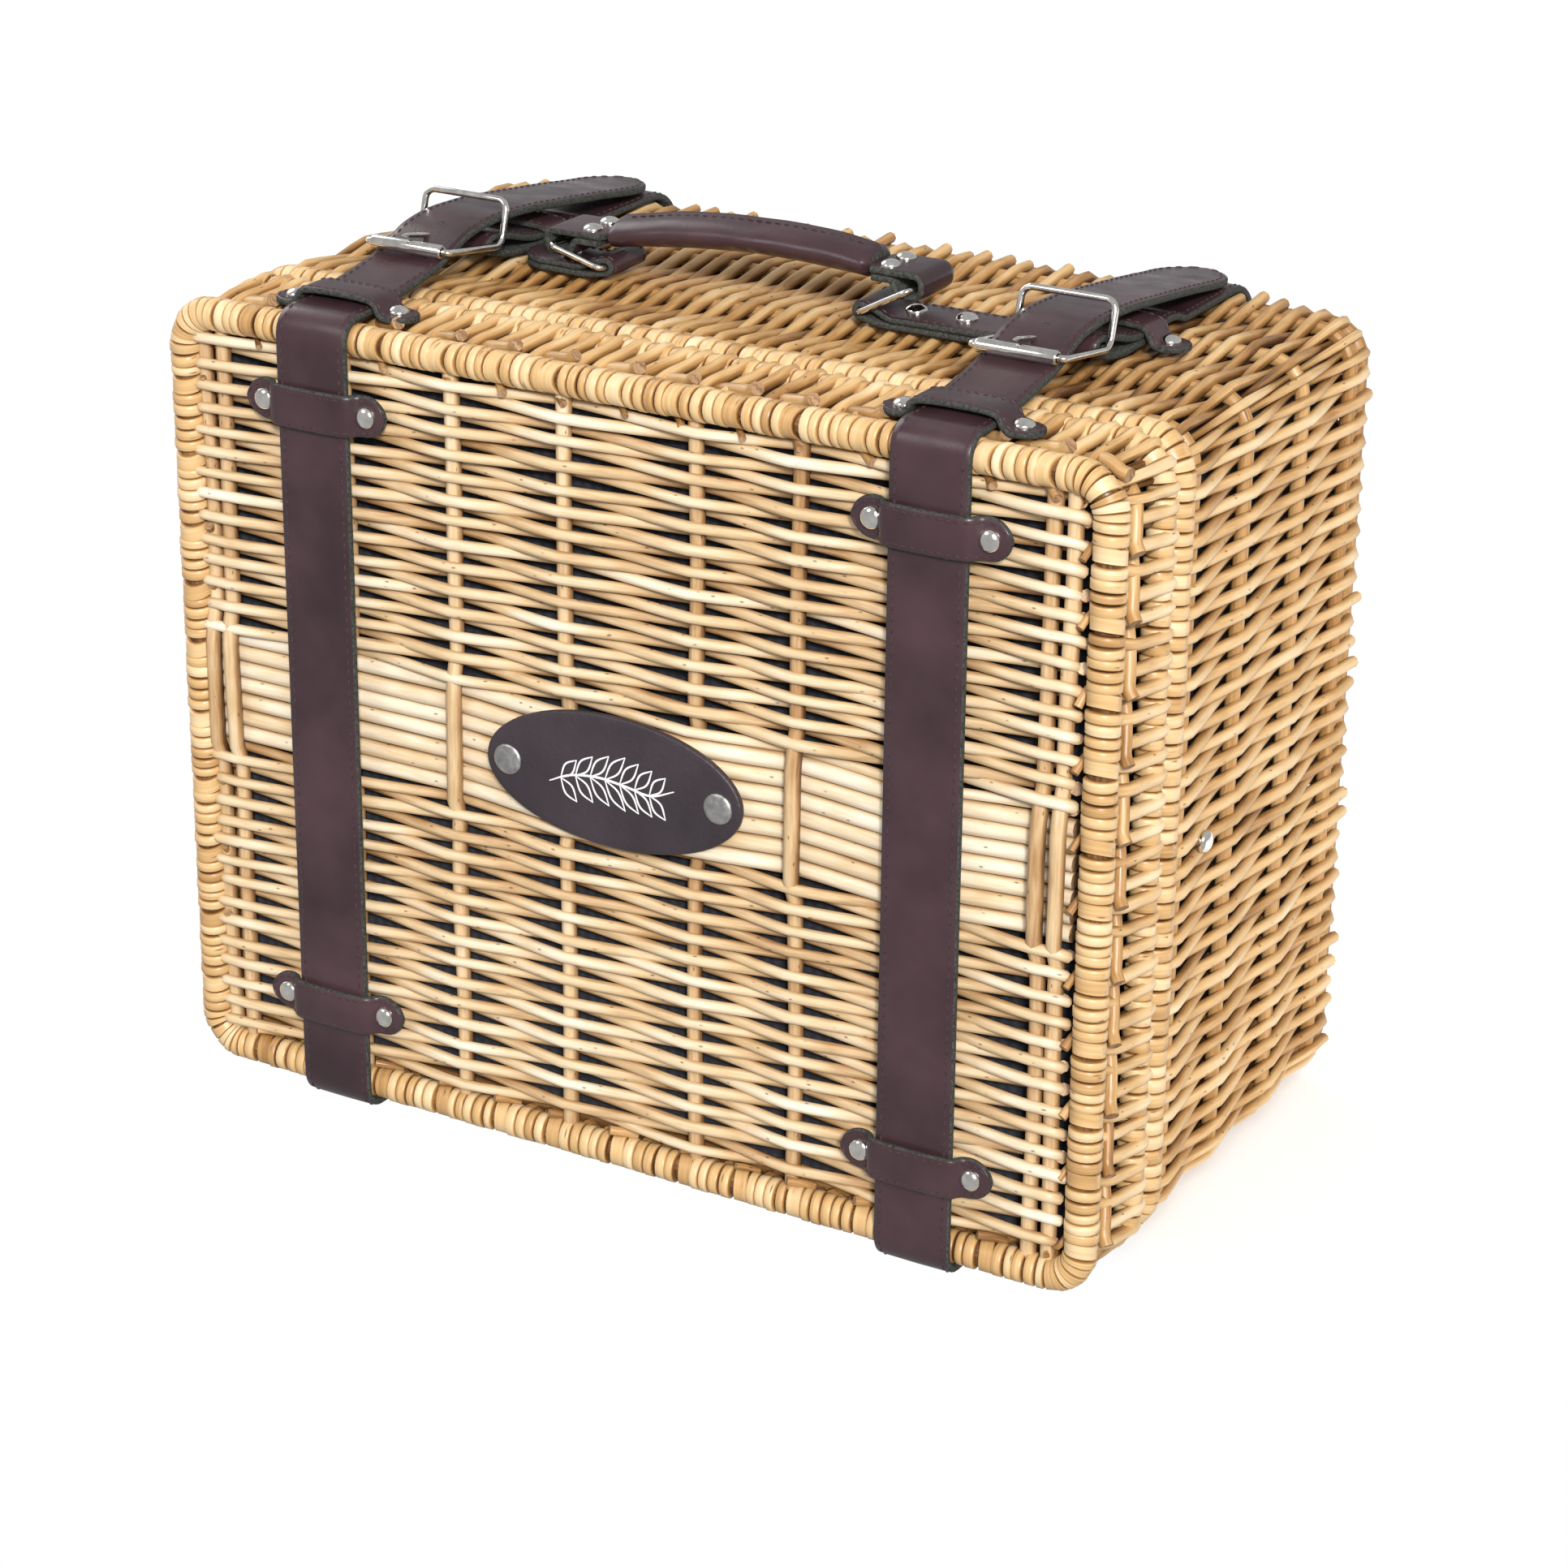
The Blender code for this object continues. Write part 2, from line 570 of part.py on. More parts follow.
def ring_and_patch(side, way, patch_length, rivets):
    """A wire ring, and the folded patch that holds its fixed bar."""
    y = CASE_FRONT + HANDLE_Y
    bar_x, bar_z = HANDLE_X + way * RING_BAR_X, HEIGHT + RING_BAR_H
    along = Vector((way * math.cos(RING_TILT), 0, math.sin(RING_TILT)))
    hub = Vector((bar_x, y, bar_z))
    corners = []
    for a, b in ((0, -1), (0, 1), (1, 1), (1, -1)):
        corner = hub + along * RING_LENGTH * a + Vector((0, b * RING_HALF, 0))
        inward_x = along * (RING_CORNER if a == 0 else -RING_CORNER)
        inward_y = Vector((0, -b * RING_CORNER, 0))
        pair = [corner + inward_x, corner + inward_y]
        corners += pair if a == 0 and b == -1 or a == 1 and b == 1 else pair[::-1]
    wire("handle_ring_" + side, corners, RING_WIRE, closed=True, axis=tuple(hub))

    bend = RING_WIRE + GAP + KEEPER_THICK / 2
    low, high = PATCH_LIFT, PATCH_LIFT + KEEPER_THICK + GAP
    far = RING_BAR_X + patch_length
    fold = [Vector((RING_BAR_X, RING_BAR_H)) + bend * Vector((math.cos(t), math.sin(t)))
            for t in (math.radians(270 - 22.5 * k) for k in range(9))]
    bottom = spline([(far, low), (RING_BAR_X + 20 * MM, low), (RING_BAR_X + 9 * MM, low),
                     tuple(fold[0])], steps=3)
    top = spline([tuple(fold[-1]), (RING_BAR_X + 6 * MM, 5.6 * MM), (RING_BAR_X + 12 * MM, high),
                  (RING_BAR_X + 20 * MM, high), (far, high)], steps=3)
    path, widths = round_ends(bottom[:-1] + fold + top[1:], PATCH_HALF_WIDTH, first=12 * MM, last=12 * MM)
    strip("handle_patch_" + side, path, widths, KEEPER_THICK,
          lambda u, v, w: (HANDLE_X + way * u, y + w, HEIGHT + v))
    for k, reach in enumerate(rivets):
        centre = (HANDLE_X + way * (RING_BAR_X + reach), y, HEIGHT + high + KEEPER_THICK / 2 + GAP)
        dome(f"rivet_patch_{side}_{'ab'[k]}", centre, (0, 0, 1))


# ---- badge and side rivets -----------------------------------------------------------
def badge():
    bm = bmesh.new()
    sides = 36
    back = CASE_FRONT + PANEL_RECESS - GAP
    loops = []
    front = back - BADGE_THICK
    turns = [2 * math.pi * k / sides for k in range(sides)]
    for y, shrink in ((back, 0), (front + BADGE_EDGE, 0), (front, BADGE_EDGE)):
        wide, tall = BADGE_HALF[0] - shrink, BADGE_HALF[1] - shrink
        loops.append([bm.verts.new((wide * math.cos(t), y, BADGE_Z + tall * math.sin(t))) for t in turns])
    for a, b in zip(loops, loops[1:], strict=False):
        bridge(bm, a, b)
    bm.faces.new(loops[0])
    bm.faces.new(loops[-1])
    add("badge_plate", bm, "badge")
    for side, way in (("left", -1), ("right", 1)):
        dome("rivet_badge_" + side, (way * BADGE_RIVET_X, front - GAP, BADGE_Z), (0, -1, 0),
             radius=5.3 * MM, height=1.2 * MM)


def side_rivets():
    depth, z = SIDE_RIVET
    for side, way in (("left", -1), ("right", 1)):
        dome("rivet_side_" + side, (way * (WIDTH / 2 - 1.0 * MM), CASE_FRONT + depth, z), (way, 0, 0))


def main():
    clear_scene()
    lid_shell()
    body_shell()
    for side, x in (("left", -BELT_X), ("right", BELT_X)):
        front_belt(side, x)
        back_belt(side, x)
        keepers(side, x)
        buckle(side, x)
    handle_strap()
    handle_grip()
    ring_and_patch("left", -1, 41 * MM, (23 * MM,))
    ring_and_patch("right", 1, 64 * MM, (17 * MM, 38 * MM))
    badge()
    side_rivets()


main()
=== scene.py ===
"""The looks of a willow suitcase hamper with leather belts, built round its CAD frame.

Lengths are metres, most of them written in millimetres times MM. Y runs from the lid face to
the back panel. A place on the case's sides is also written as (run, out, depth): how far
along the case's outline, how far out of its outer face, and how far behind the lid face.
"""

import json
import math

import bpy
import numpy as np
from mathutils import Matrix, Vector

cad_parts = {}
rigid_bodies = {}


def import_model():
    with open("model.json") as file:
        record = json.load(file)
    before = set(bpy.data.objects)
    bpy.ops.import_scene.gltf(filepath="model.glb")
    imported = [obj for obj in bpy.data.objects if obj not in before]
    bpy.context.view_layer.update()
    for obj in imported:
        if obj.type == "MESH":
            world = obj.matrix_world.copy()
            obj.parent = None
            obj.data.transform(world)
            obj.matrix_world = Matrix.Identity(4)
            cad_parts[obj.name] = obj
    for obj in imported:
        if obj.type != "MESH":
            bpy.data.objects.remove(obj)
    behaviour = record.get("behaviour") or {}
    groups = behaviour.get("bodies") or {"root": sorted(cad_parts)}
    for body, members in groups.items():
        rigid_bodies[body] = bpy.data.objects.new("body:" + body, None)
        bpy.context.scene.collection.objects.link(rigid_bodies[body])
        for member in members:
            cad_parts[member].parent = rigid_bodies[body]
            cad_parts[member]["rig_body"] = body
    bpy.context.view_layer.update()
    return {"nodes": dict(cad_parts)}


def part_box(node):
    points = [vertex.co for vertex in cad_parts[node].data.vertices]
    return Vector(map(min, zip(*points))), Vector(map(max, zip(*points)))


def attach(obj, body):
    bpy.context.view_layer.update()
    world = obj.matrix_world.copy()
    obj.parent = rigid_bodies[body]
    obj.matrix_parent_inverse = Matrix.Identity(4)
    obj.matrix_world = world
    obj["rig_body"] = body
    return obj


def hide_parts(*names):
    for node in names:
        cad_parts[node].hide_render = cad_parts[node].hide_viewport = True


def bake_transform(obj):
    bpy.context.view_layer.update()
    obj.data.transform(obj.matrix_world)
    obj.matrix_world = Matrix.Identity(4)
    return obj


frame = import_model()

MM = 0.001

# ---- places read from the frame
ROLL_LOW, ROLL_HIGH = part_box("lid_front_roll")
FRONT = ROLL_LOW.y  # the lid face
BASE, TOP = ROLL_LOW.z, ROLL_HIGH.z
HALF_WIDTH = ROLL_HIGH.x
FRONT_ROLL = (ROLL_HIGH.y - ROLL_LOW.y) / 2
BODY_LOW, BODY_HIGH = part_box("body_rim_roll")
BODY_ROLL = (BODY_HIGH.y - BODY_LOW.y) / 2
BODY_START = BODY_LOW.y - FRONT
LID_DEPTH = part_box("lid_side_wall")[1].y - FRONT
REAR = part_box("body_back_panel")[1].y
DEPTH = REAR - FRONT
CORNER = 20 * MM

# ---- weave
ROD = 2.22 * MM  # radius of the weaving rods
STAKE = 3.1 * MM
BAND_ROD = 3.42 * MM
SWING = 3.8 * MM  # a weaving rod's travel to each side of a stake's centre
PANEL_STAKES = ((-185.5, -177.3), (-122,), (-74,), (-25.5,), (30.5,), (73,), (124,), (171.5, 179))
BAND_OVER = (1, 1, 1, 0, 0, 1, 0, 1)  # whether each group of stakes stands before the band
STAKE_DEPTH = 8.2 * MM
BAND = (140.3 * MM, 187.3 * MM)
HOOPS = np.array((70, 115, 164, 208)) * MM  # depths of the hoops in the body wall
WALL_ROD_PITCH = 4.5 * MM
PANEL_PITCH = 4.38 * MM
LADDER_PITCH = 9.0 * MM
HOOP_OUT = -6.3 * MM
# The hoops in the corners of the lid and the case: out, depth, radius and tone. The lid's hoop lies deep in
# the recess and its low tone is painted shade.
LID_HOOP = (-11.2 * MM, 17 * MM, STAKE, 0.20)
REAR_HOOP = (-8.2 * MM, 221 * MM, 3.6 * MM, 0.36)

# ---- leather and hardware, as in the CAD
BELT_HALF = 15.5 * MM
BELT_THICK = 2.6 * MM
BELT_X = 129 * MM
BOTH_BELTS = (("left", -BELT_X), ("right", BELT_X))
GAP = 0.3 * MM
BELT_LIFT = GAP + BELT_THICK / 2
HINGE_Y = FRONT + LID_DEPTH + 0.6 * MM
HINGE_Z = BELT_THICK / 2
HINGE_REACH = 20 * MM
KEEPER_THICK = 2.2 * MM
KEEPER_HALF_WIDTH = 8 * MM
HANDLE_X = -13 * MM
HANDLE_DEPTH = 116 * MM
GRIP_HALF = 57 * MM
GRIP_CREST = 24.5 * MM
GRIP_DROP = 4.0 * MM
GRIP_WIDE = 12 * MM  # half its width and half its height, in the middle
GRIP_TALL = 6.1 * MM
RING_BAR_X = 55.5 * MM
RING_BAR_H = 4.6 * MM
RING_LENGTH = 24 * MM
RING_TILT = math.radians(28)
HANG = 5.0 * MM  # how much lower the handle's left end hangs
BUCKLE_BAR = (96, 8.7)  # its centre bar, millimetres behind the lid face and over the top

CAMERA_AZIMUTH, CAMERA_ELEVATION, CAMERA_ROLL = 29.98, 22.74, 0.58  # degrees
CAMERA_PLACE = (0.7425, -1.2745, 0.7424)

rng = np.random.default_rng(7)


# ---- meshes
def unit(v):
    return v / np.maximum(np.linalg.norm(v, axis=-1, keepdims=True), 1e-12)


def whole_turn(count):
    return np.arange(count) * 2 * math.pi / count


def columns(*values):
    """Rows of points from their coordinates, some of which may be the same for all."""
    return np.stack(np.broadcast_arrays(*values), -1)


def arc(centre, radius, degrees):
    """Points of a circle in a plane."""
    turns = np.radians(degrees)
    return centre + radius * columns(np.cos(turns), np.sin(turns))


def travelled(path):
    """How far along the path each of its points is."""
    return np.concatenate([[0], np.cumsum(np.linalg.norm(np.diff(path, axis=0), axis=1))])


def add(name, data):
    item = bpy.data.objects.new(name, data)
    bpy.context.scene.collection.objects.link(item)
    return item


def picked(mean, spread, low, high):
    return np.clip(rng.normal(mean, spread), low, high)


class Bundle:
    """Gathers strands into one mesh. Each point knows its strand's tone and its place on it."""

    def __init__(self, place=None):
        self.place = place
        self.points, self.quads, self.kinds, self.tones, self.rods = [], [], [], [], []
        self.count = 0

    def add(self, rings, tone=0.5, kind=0, cap_kind=None, loop=False, kinds=None):
        """rings is (sections, points round, 3); kinds may name a kind for each face round."""
        sections, around = rings.shape[:2]
        along = np.arange(sections) * MM if loop else travelled(rings.mean(1))
        girth = np.cumsum(np.linalg.norm(rings - np.roll(rings, 1, axis=1), axis=2).mean(0))
        self.rods.append(columns(along[:, None], girth, len(self.rods) * 0.377).reshape(-1, 3))
        index = self.count + np.arange(sections * around).reshape(sections, around)
        following = np.roll(index, -1, axis=0) if loop else index[1:]
        current = index if loop else index[:-1]
        quads = np.stack([current, np.roll(current, -1, 1), np.roll(following, -1, 1), following], -1)
        self.quads.append(quads.reshape(-1, 4))
        self.kinds.append(np.tile(np.full(around, kind) if kinds is None else kinds, len(quads)))
        if not loop:
            k = np.arange(around // 2 - 1)
            caps = columns(k, k + 1, around - 2 - k, around - 1 - k)
            self.quads += [index[0][caps[:, ::-1]], index[-1][caps]]
            self.kinds.append(np.full(2 * len(k), kind if cap_kind is None else cap_kind))
        points = rings.reshape(-1, 3)
        self.points.append(self.place(points) if self.place else points)
        self.tones.append(np.broadcast_to(tone, (sections, around)).ravel())
        self.count += sections * around

    def build(self, name, finishes):
        mesh = bpy.data.meshes.new(name)
        mesh.from_pydata(np.concatenate(self.points), [], np.concatenate(self.quads))
        mesh.polygons.foreach_set("material_index", np.concatenate(self.kinds).astype(np.int32))
        for key, kind, field, values in (("tone", "FLOAT", "value", self.tones),
                                         ("rod", "FLOAT_VECTOR", "vector", self.rods)):
            layer = mesh.attributes.new(key, kind, "POINT")
            layer.data.foreach_set(field, np.concatenate(values).astype(np.float32).ravel())
        for finish in finishes:
            mesh.materials.append(finish)
        mesh.validate()
        mesh.shade_smooth()
        mesh.set_sharp_from_angle(angle=math.radians(48))
        return add(name, mesh)

    def piece(self, name, finishes, body, slot, *nodes):
        """Builds the mesh as a piece that rides a body and stands for its CAD nodes."""
        made = self.build(name, finishes)
        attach(made, body)
        if nodes:
            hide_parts(*nodes)
        return made


def tube(bundle, path, radius, across, tone=0.5, sides=8, flat=1.0, loop=False, painted_shade=0.0, **more):
    """A round strand along path; flat squeezes it along `across`, a direction off the path.

    painted_shade darkens the sides that touch its neighbours and the side that faces inward. This darkening
    is painted shade where the strands crowd each other.
    """
    path = np.asarray(path, float)
    tangent = unit(np.roll(path, -1, 0) - np.roll(path, 1, 0) if loop else np.gradient(path, axis=0))
    first = unit(across - tangent * (across * tangent).sum(1, keepdims=True))[:, None]
    second = np.cross(tangent, first[:, 0])[:, None]
    turn = whole_turn(sides)[:, None]
    circle = np.cos(turn) * first * flat + np.sin(turn) * second
    # Painted shade: the inward side and the sides against the neighbours are painted darker.
    shade = np.reshape(tone, (-1, 1)) - painted_shade * (1 - np.maximum(0, np.sin(turn[:, 0]))) ** 1.5
    bundle.add(path[:, None] + np.reshape(radius, (-1, 1, 1)) * circle, shade, loop=loop, **more)


def smooth(points, steps=6):
    """A Catmull-Rom curve through the points."""
    points = np.asarray(points, float)
    padded = np.vstack([2 * points[0] - points[1], points, 2 * points[-1] - points[-2]])
    t = np.arange(steps)[:, None] / steps
    out = [b + 0.5 * t * (c - a + t * (2 * a - 5 * b + 4 * c - d + t * (3 * b - a - 3 * c + d)))
           for a, b, c, d in zip(padded, padded[1:], padded[2:], padded[3:], strict=False)]
    return np.vstack(out + [points[-1:]])


def rounded(points, radii, segments=6, loop=False):
    """A polyline in 2D or 3D with each inner corner rounded by its radius."""
    points = [np.asarray(p, float) for p in points]
    count = len(points)
    corners = range(count) if loop else range(1, count - 1)
    path = [] if loop else [points[0]]
    for number, i in enumerate(corners):
        before, corner, after = points[i - 1], points[i], points[(i + 1) % count]
        a, b = unit(before - corner), unit(after - corner)
        half = math.acos(np.clip(a @ b, -1, 1)) / 2
        reach = radii[number] / math.tan(half)
        centre = corner + unit(a + b) * radii[number] / math.sin(half)
        start, end = corner + a * reach - centre, corner + b * reach - centre
        sweep = math.pi - 2 * half
        for turned in np.linspace(0, sweep, segments + 1):
            spot = math.sin(sweep - turned) * start + math.sin(turned) * end
            path.append(centre + spot / math.sin(sweep))
    if not loop:
        path.append(points[-1])
    return np.array(path)


def resampled(path, step):
    """The path with a point about every step, its ends kept."""
    lengths = travelled(path)
    places = np.linspace(0, lengths[-1], max(2, round(lengths[-1] / step) + 1))
    return columns(*(np.interp(places, lengths, line) for line in np.transpose(path))), places


# ---- the case's outline
RIGHT, HIGH, LOW = HALF_WIDTH - CORNER, TOP - CORNER, BASE + CORNER
SIDES = (2 * RIGHT, math.pi / 2 * CORNER, HIGH - LOW, math.pi / 2 * CORNER) * 2
EDGES = np.concatenate([[0], np.cumsum(SIDES)])
OUTLINE = EDGES[-1]


def on_case(points):
    """World points of (run, out, depth); run starts at the top's left end and goes round."""
    run = points[:, 0] % OUTLINE
    side = np.clip(np.searchsorted(EDGES, run, side="right") - 1, 0, 7)
    offset = (run - EDGES[side])[:, None]
    starts = ((-RIGHT, HIGH), (RIGHT, HIGH), (RIGHT, HIGH), (RIGHT, LOW),
              (RIGHT, LOW), (-RIGHT, LOW), (-RIGHT, LOW), (-RIGHT, HIGH))
    ways = ((1, 0), (0, 0), (0, -1), (0, 0), (-1, 0), (0, 0), (0, 1), (0, 0))
    angle = math.pi / 2 * (1 - side // 2) - side % 2 * offset[:, 0] / CORNER
    x, z = (np.array(starts)[side] + np.array(ways)[side] * offset
            + (CORNER + points[:, 1:2]) * columns(np.cos(angle), np.sin(angle))).T
    return columns(x, FRONT + points[:, 2], z)


# ---- finishes
class Finish:
    """A material built round one Principled shader."""

    def __init__(self, name, **constants):
        self.material = bpy.data.materials.new(name)
        self.material.use_nodes = True
        self.tree = self.material.node_tree
        self.shader = self.tree.nodes["Principled BSDF"]
        for socket, value in constants.items():
            self.shader.inputs[socket.replace("_", " ").title()].default_value = value

    def node(self, kind, inputs=None, **settings):
        made = self.tree.nodes.new("ShaderNode" + kind)
        for key, value in settings.items():
            setattr(made, key, value)
        for socket, value in (inputs or {}).items():
            if isinstance(value, bpy.types.NodeSocket):
                self.tree.links.new(value, made.inputs[socket])
            else:
                made.inputs[socket].default_value = value
        return made

    def link(self, value, socket):
        self.tree.links.new(value, self.shader.inputs[socket])

    def attribute(self, name, output):
        return self.node("Attribute", attribute_name=name).outputs[output]

    def spot(self):
        return self.node("TexCoord").outputs["Object"]

    def stretched(self, vector, scale):
        return self.node("Mapping", {"Vector": vector, "Scale": scale}).outputs["Vector"]

    def noise(self, vector, scale, detail=2.0):
        return self.node("TexNoise", {"Vector": vector, "Scale": scale, "Detail": detail}).outputs["Fac"]

    def maths(self, operation, a, b, clamp=False):
        return self.node("Math", {0: a, 1: b}, operation=operation, use_clamp=clamp).outputs[0]

    def spread(self, value, low, high, start=0.3, end=0.7, **more):
        """value's start to end stretched to low and high."""
        return self.node("MapRange", {"Value": value, "From Min": start, "From Max": end,
                                      "To Min": low, "To Max": high}, **more).outputs[0]

    def ramp(self, value, *stops):
        made = self.node("ValToRGB", {"Fac": value})
        elements = made.color_ramp.elements
        while len(elements) < len(stops):
            elements.new(0.5)
        for element, (place, *colour) in zip(elements, stops, strict=True):
            element.position = place
            element.color = (*colour, 1)
        return made.outputs["Color"]

    def colour(self, value, *stops):
        self.link(self.ramp(value, *stops), "Base Color")

    def bump(self, height, strength, distance):
        made = self.node("Bump", {"Height": height, "Strength": strength, "Distance": distance})
        self.link(made.outputs["Normal"], "Normal")


def willow_finish(name, gloss, *stops):
    """Peeled willow: a tone for each rod, which also carries the painted shade, long fibres, soft blotches
    and a few dark specks.
    """
    f = Finish(name)
    rod = f.attribute("rod", "Vector")
    tone = f.attribute("tone", "Fac")
    fibres = f.noise(f.stretched(rod, (90, 900, 31)), 1.0, 3.0)
    blotches = f.noise(f.stretched(rod, (26, 60, 17)), 1.0, 2.0)
    shade = f.maths("ADD", tone, f.spread(blotches, -0.16, 0.16))
    shade = f.maths("ADD", shade, f.spread(fibres, -0.09, 0.09), clamp=True)
    cells = f.node("TexVoronoi", {"Vector": f.stretched(rod, (170, 420, 23)), "Scale": 1.0})
    dot = f.spread(cells.outputs["Distance"], 1.0, 0.0, 0.08, 0.20)
    cell = f.node("SeparateColor", {"Color": cells.outputs["Color"]}).outputs["Red"]
    speck = f.maths("MULTIPLY", f.maths("MULTIPLY", dot, f.maths("GREATER_THAN", cell, 0.70)), 0.75)
    specked = f.node("Mix", {0: speck, 6: f.ramp(shade, *stops), 7: (0.10, 0.04, 0.015, 1)}, data_type="RGBA")
    f.link(specked.outputs[2], "Base Color")
    f.link(f.spread(fibres, gloss - 0.06, gloss + 0.12), "Roughness")
    f.bump(fibres, 0.25, 0.25 * MM)
    return f.material


def cut_end_finish():
    """A rod's cut end: grey-brown bark rim and paler pith."""
    f = Finish("cut_end", roughness=0.8)
    grain = f.noise(f.stretched(f.attribute("rod", "Vector"), (500, 500, 41)), 1.0)
    f.colour(grain, (0.3, 0.15, 0.07, 0.03), (0.7, 0.42, 0.26, 0.13))
    return f.material


def leather_finish(name, dark, light, grain, roughness, depth):
    """Leather with fine pebbled grain, soft cloudiness and a slightly uneven gloss."""
    f = Finish(name)
    spot = f.spot()
    f.colour(f.spread(f.noise(spot, 28.0, 3.0), 0.0, 1.0), (0.0, *dark), (1.0, *light))
    pebbles = f.node("TexVoronoi", {"Vector": spot, "Scale": grain}, feature="SMOOTH_F1")
    fine = f.noise(spot, grain * 2.4, 2.0)
    height = f.maths("ADD", pebbles.outputs["Distance"], f.maths("MULTIPLY", fine, 0.6))
    height = f.maths("ADD", height, f.maths("MULTIPLY", f.noise(spot, 55.0, 3.0), 6.0))
    f.link(f.spread(f.noise(spot, 90.0), roughness - 0.05, roughness + 0.09), "Roughness")
    f.bump(height, depth, 0.2 * MM)
    return f.material


def fibre_finish(name, roughness, scale, detail, strength, distance, *stops):
    """A fibrous surface: the leather's raw cut edge and flesh side, or its thread."""
    f = Finish(name, roughness=roughness)
    fibres = f.noise(f.spot(), scale, detail)
    f.colour(fibres, *stops)
    f.bump(fibres, strength, distance)
    return f.material


def metal_finish(name, colour, low, high, scratch):
    """Plated metal with faint wear in its polish."""
    f = Finish(name, metallic=1.0)
    wear = f.noise(f.spot(), scratch, 4.0)
    dull, bright = [c * 0.8 for c in colour], [min(1.0, c * 1.12) for c in colour]
    f.colour(f.spread(wear, 0, 1), (0.0, *dull), (1.0, *bright))
    f.link(f.spread(wear, low, high), "Roughness")
    f.bump(wear, 0.02, 0.1 * MM)
    return f.material


def lining_finish():
    """Near-black navy cotton in a plain weave."""
    f = Finish("navy_cotton", roughness=0.92, sheen_weight=0.15)
    spot = f.spot()
    waves = [f.node("TexWave", {"Vector": spot, "Scale": 70.0}, bands_direction=axis).outputs["Fac"]
             for axis in ("X", "Z")]
    weave = f.maths("MULTIPLY", waves[0], waves[1])
    shade = f.maths("ADD", f.maths("MULTIPLY", weave, 0.5), f.maths("MULTIPLY", f.noise(spot, 60.0), 0.5))
    f.colour(shade, (0.1, 0.008, 0.009, 0.014), (0.8, 0.030, 0.033, 0.047))
    f.bump(weave, 0.4, 0.3 * MM)
    return f.material


def ink_finish():
    f = Finish("white_print", roughness=0.6)
    f.colour(f.noise(f.spot(), 1500.0), (0.3, 0.62, 0.61, 0.6), (0.6, 0.85, 0.84, 0.83))
    return f.material


CUT = cut_end_finish()
WEAVE = [willow_finish("peeled_willow", 0.42, (0.0, 0.10, 0.042, 0.014), (0.30, 0.37, 0.205, 0.085),
                       (0.62, 0.61, 0.44, 0.25), (1.0, 0.76, 0.67, 0.53)), CUT]
# A darker, more saturated copy of the willow for the rolls and the side walls: the borders' own colour, and
# painted shade on the side walls, which get less light.
ROLL = [willow_finish("border_willow_shaded", 0.36, (0.0, 0.085, 0.032, 0.009), (0.30, 0.35, 0.175, 0.055),
                      (0.62, 0.59, 0.375, 0.165), (1.0, 0.75, 0.59, 0.37)), CUT]
LEATHER = [leather_finish("aubergine_leather", (0.027, 0.0120, 0.0155), (0.059, 0.029, 0.035),
                          900.0, 0.30, 0.16),
           fibre_finish("leather_edge", 0.85, 900.0, 3.0, 0.5, 0.3 * MM,
                        (0.35, 0.011, 0.012, 0.010), (0.7, 0.055, 0.058, 0.050)),
           fibre_finish("thread", 0.6, 2500.0, 2.0, 0.3, 0.1 * MM,
                        (0.3, 0.010, 0.004, 0.005), (0.7, 0.075, 0.034, 0.038))]
BADGE = [leather_finish("badge_leather", (0.023, 0.0155, 0.0200), (0.042, 0.030, 0.037), 560.0, 0.46, 1.0)]
NICKEL = [metal_finish("bright_nickel", (0.86, 0.83, 0.78), 0.06, 0.15, 260.0)]
ANTIQUE = [metal_finish("antique_silver", (0.52, 0.50, 0.48), 0.30, 0.50, 420.0)]
NAVY = [lining_finish()]
INK = [ink_finish()]


# ---- woven panels
def wobble(x, size, length):
    """A slow random wander along x."""
    a, b = rng.uniform(0, 2 * math.pi, 2)
    return size * (0.6 * np.sin(x / length * 2.3 + a) + 0.4 * np.sin(x / length * 5.1 + b))


def over_under(places, depths, steps=6):
    """Depth along x of a rod held at each place, bending round the stakes."""
    x, d = [places[0]], [depths[0]]
    for i in range(1, len(places)):
        t = np.arange(1, steps + 1) / steps
        ease = 0.35 * (0.5 - 0.5 * np.cos(math.pi * t)) + 0.65 * t
        if depths[i] == depths[i - 1]:
            t = ease = np.array([0.5, 1.0])
        x.extend(places[i - 1] + t * (places[i] - places[i - 1]))
        d.extend(depths[i - 1] + ease * (depths[i] - depths[i - 1]))
    return np.array(x), np.array(d)


def panel_row(bundle, level, phase, outward):
    """One weaving rod across a panel, with half of its turn round the last stake at each end."""
    places, depths = [], []
    for k, group in enumerate(PANEL_STAKES):
        side = 1 if (k + phase) % 2 else -1
        for x in group:
            places.append(x * MM + rng.normal(0, 1.2 * MM))
            depths.append(STAKE_DEPTH + side * SWING * rng.uniform(0.88, 1.08))
    x, d = over_under(places, depths)
    z = level + wobble(x, 0.5 * MM, 0.11)
    turn = np.radians([30, 60, 84])
    rise = PANEL_PITCH / 2 * (1 if phase else -1)
    curls = [columns(x[end] + way * (SWING + 0.4 * MM) * np.sin(turn),
                     STAKE_DEPTH + (d[end] - STAKE_DEPTH) * np.cos(turn),
                     z[end] - way * rise * (1 - np.cos(turn))) for end, way in ((0, -1), (-1, 1))]
    path = np.vstack([curls[0][::-1], columns(x, d, z), curls[1]])
    size = ROD * (1 + rng.uniform(-0.10, 0.08) + rng.uniform(-0.09, 0.09) * np.linspace(-1, 1, len(path)))
    # Painted shade: each rod is painted darker where it passes deeper, behind the stakes.
    deep = np.clip((path[:, 1] - STAKE_DEPTH) / SWING, -1, 1)
    tone = np.clip(rng.normal(0.79, 0.08) - 0.17 * (deep + 1), 0.1, 1.0)
    path[:, 1] = outward(path[:, 1])
    tube(bundle, path, size, (0, 0, outward(0) < 0 or -1), tone, painted_shade=0.30)


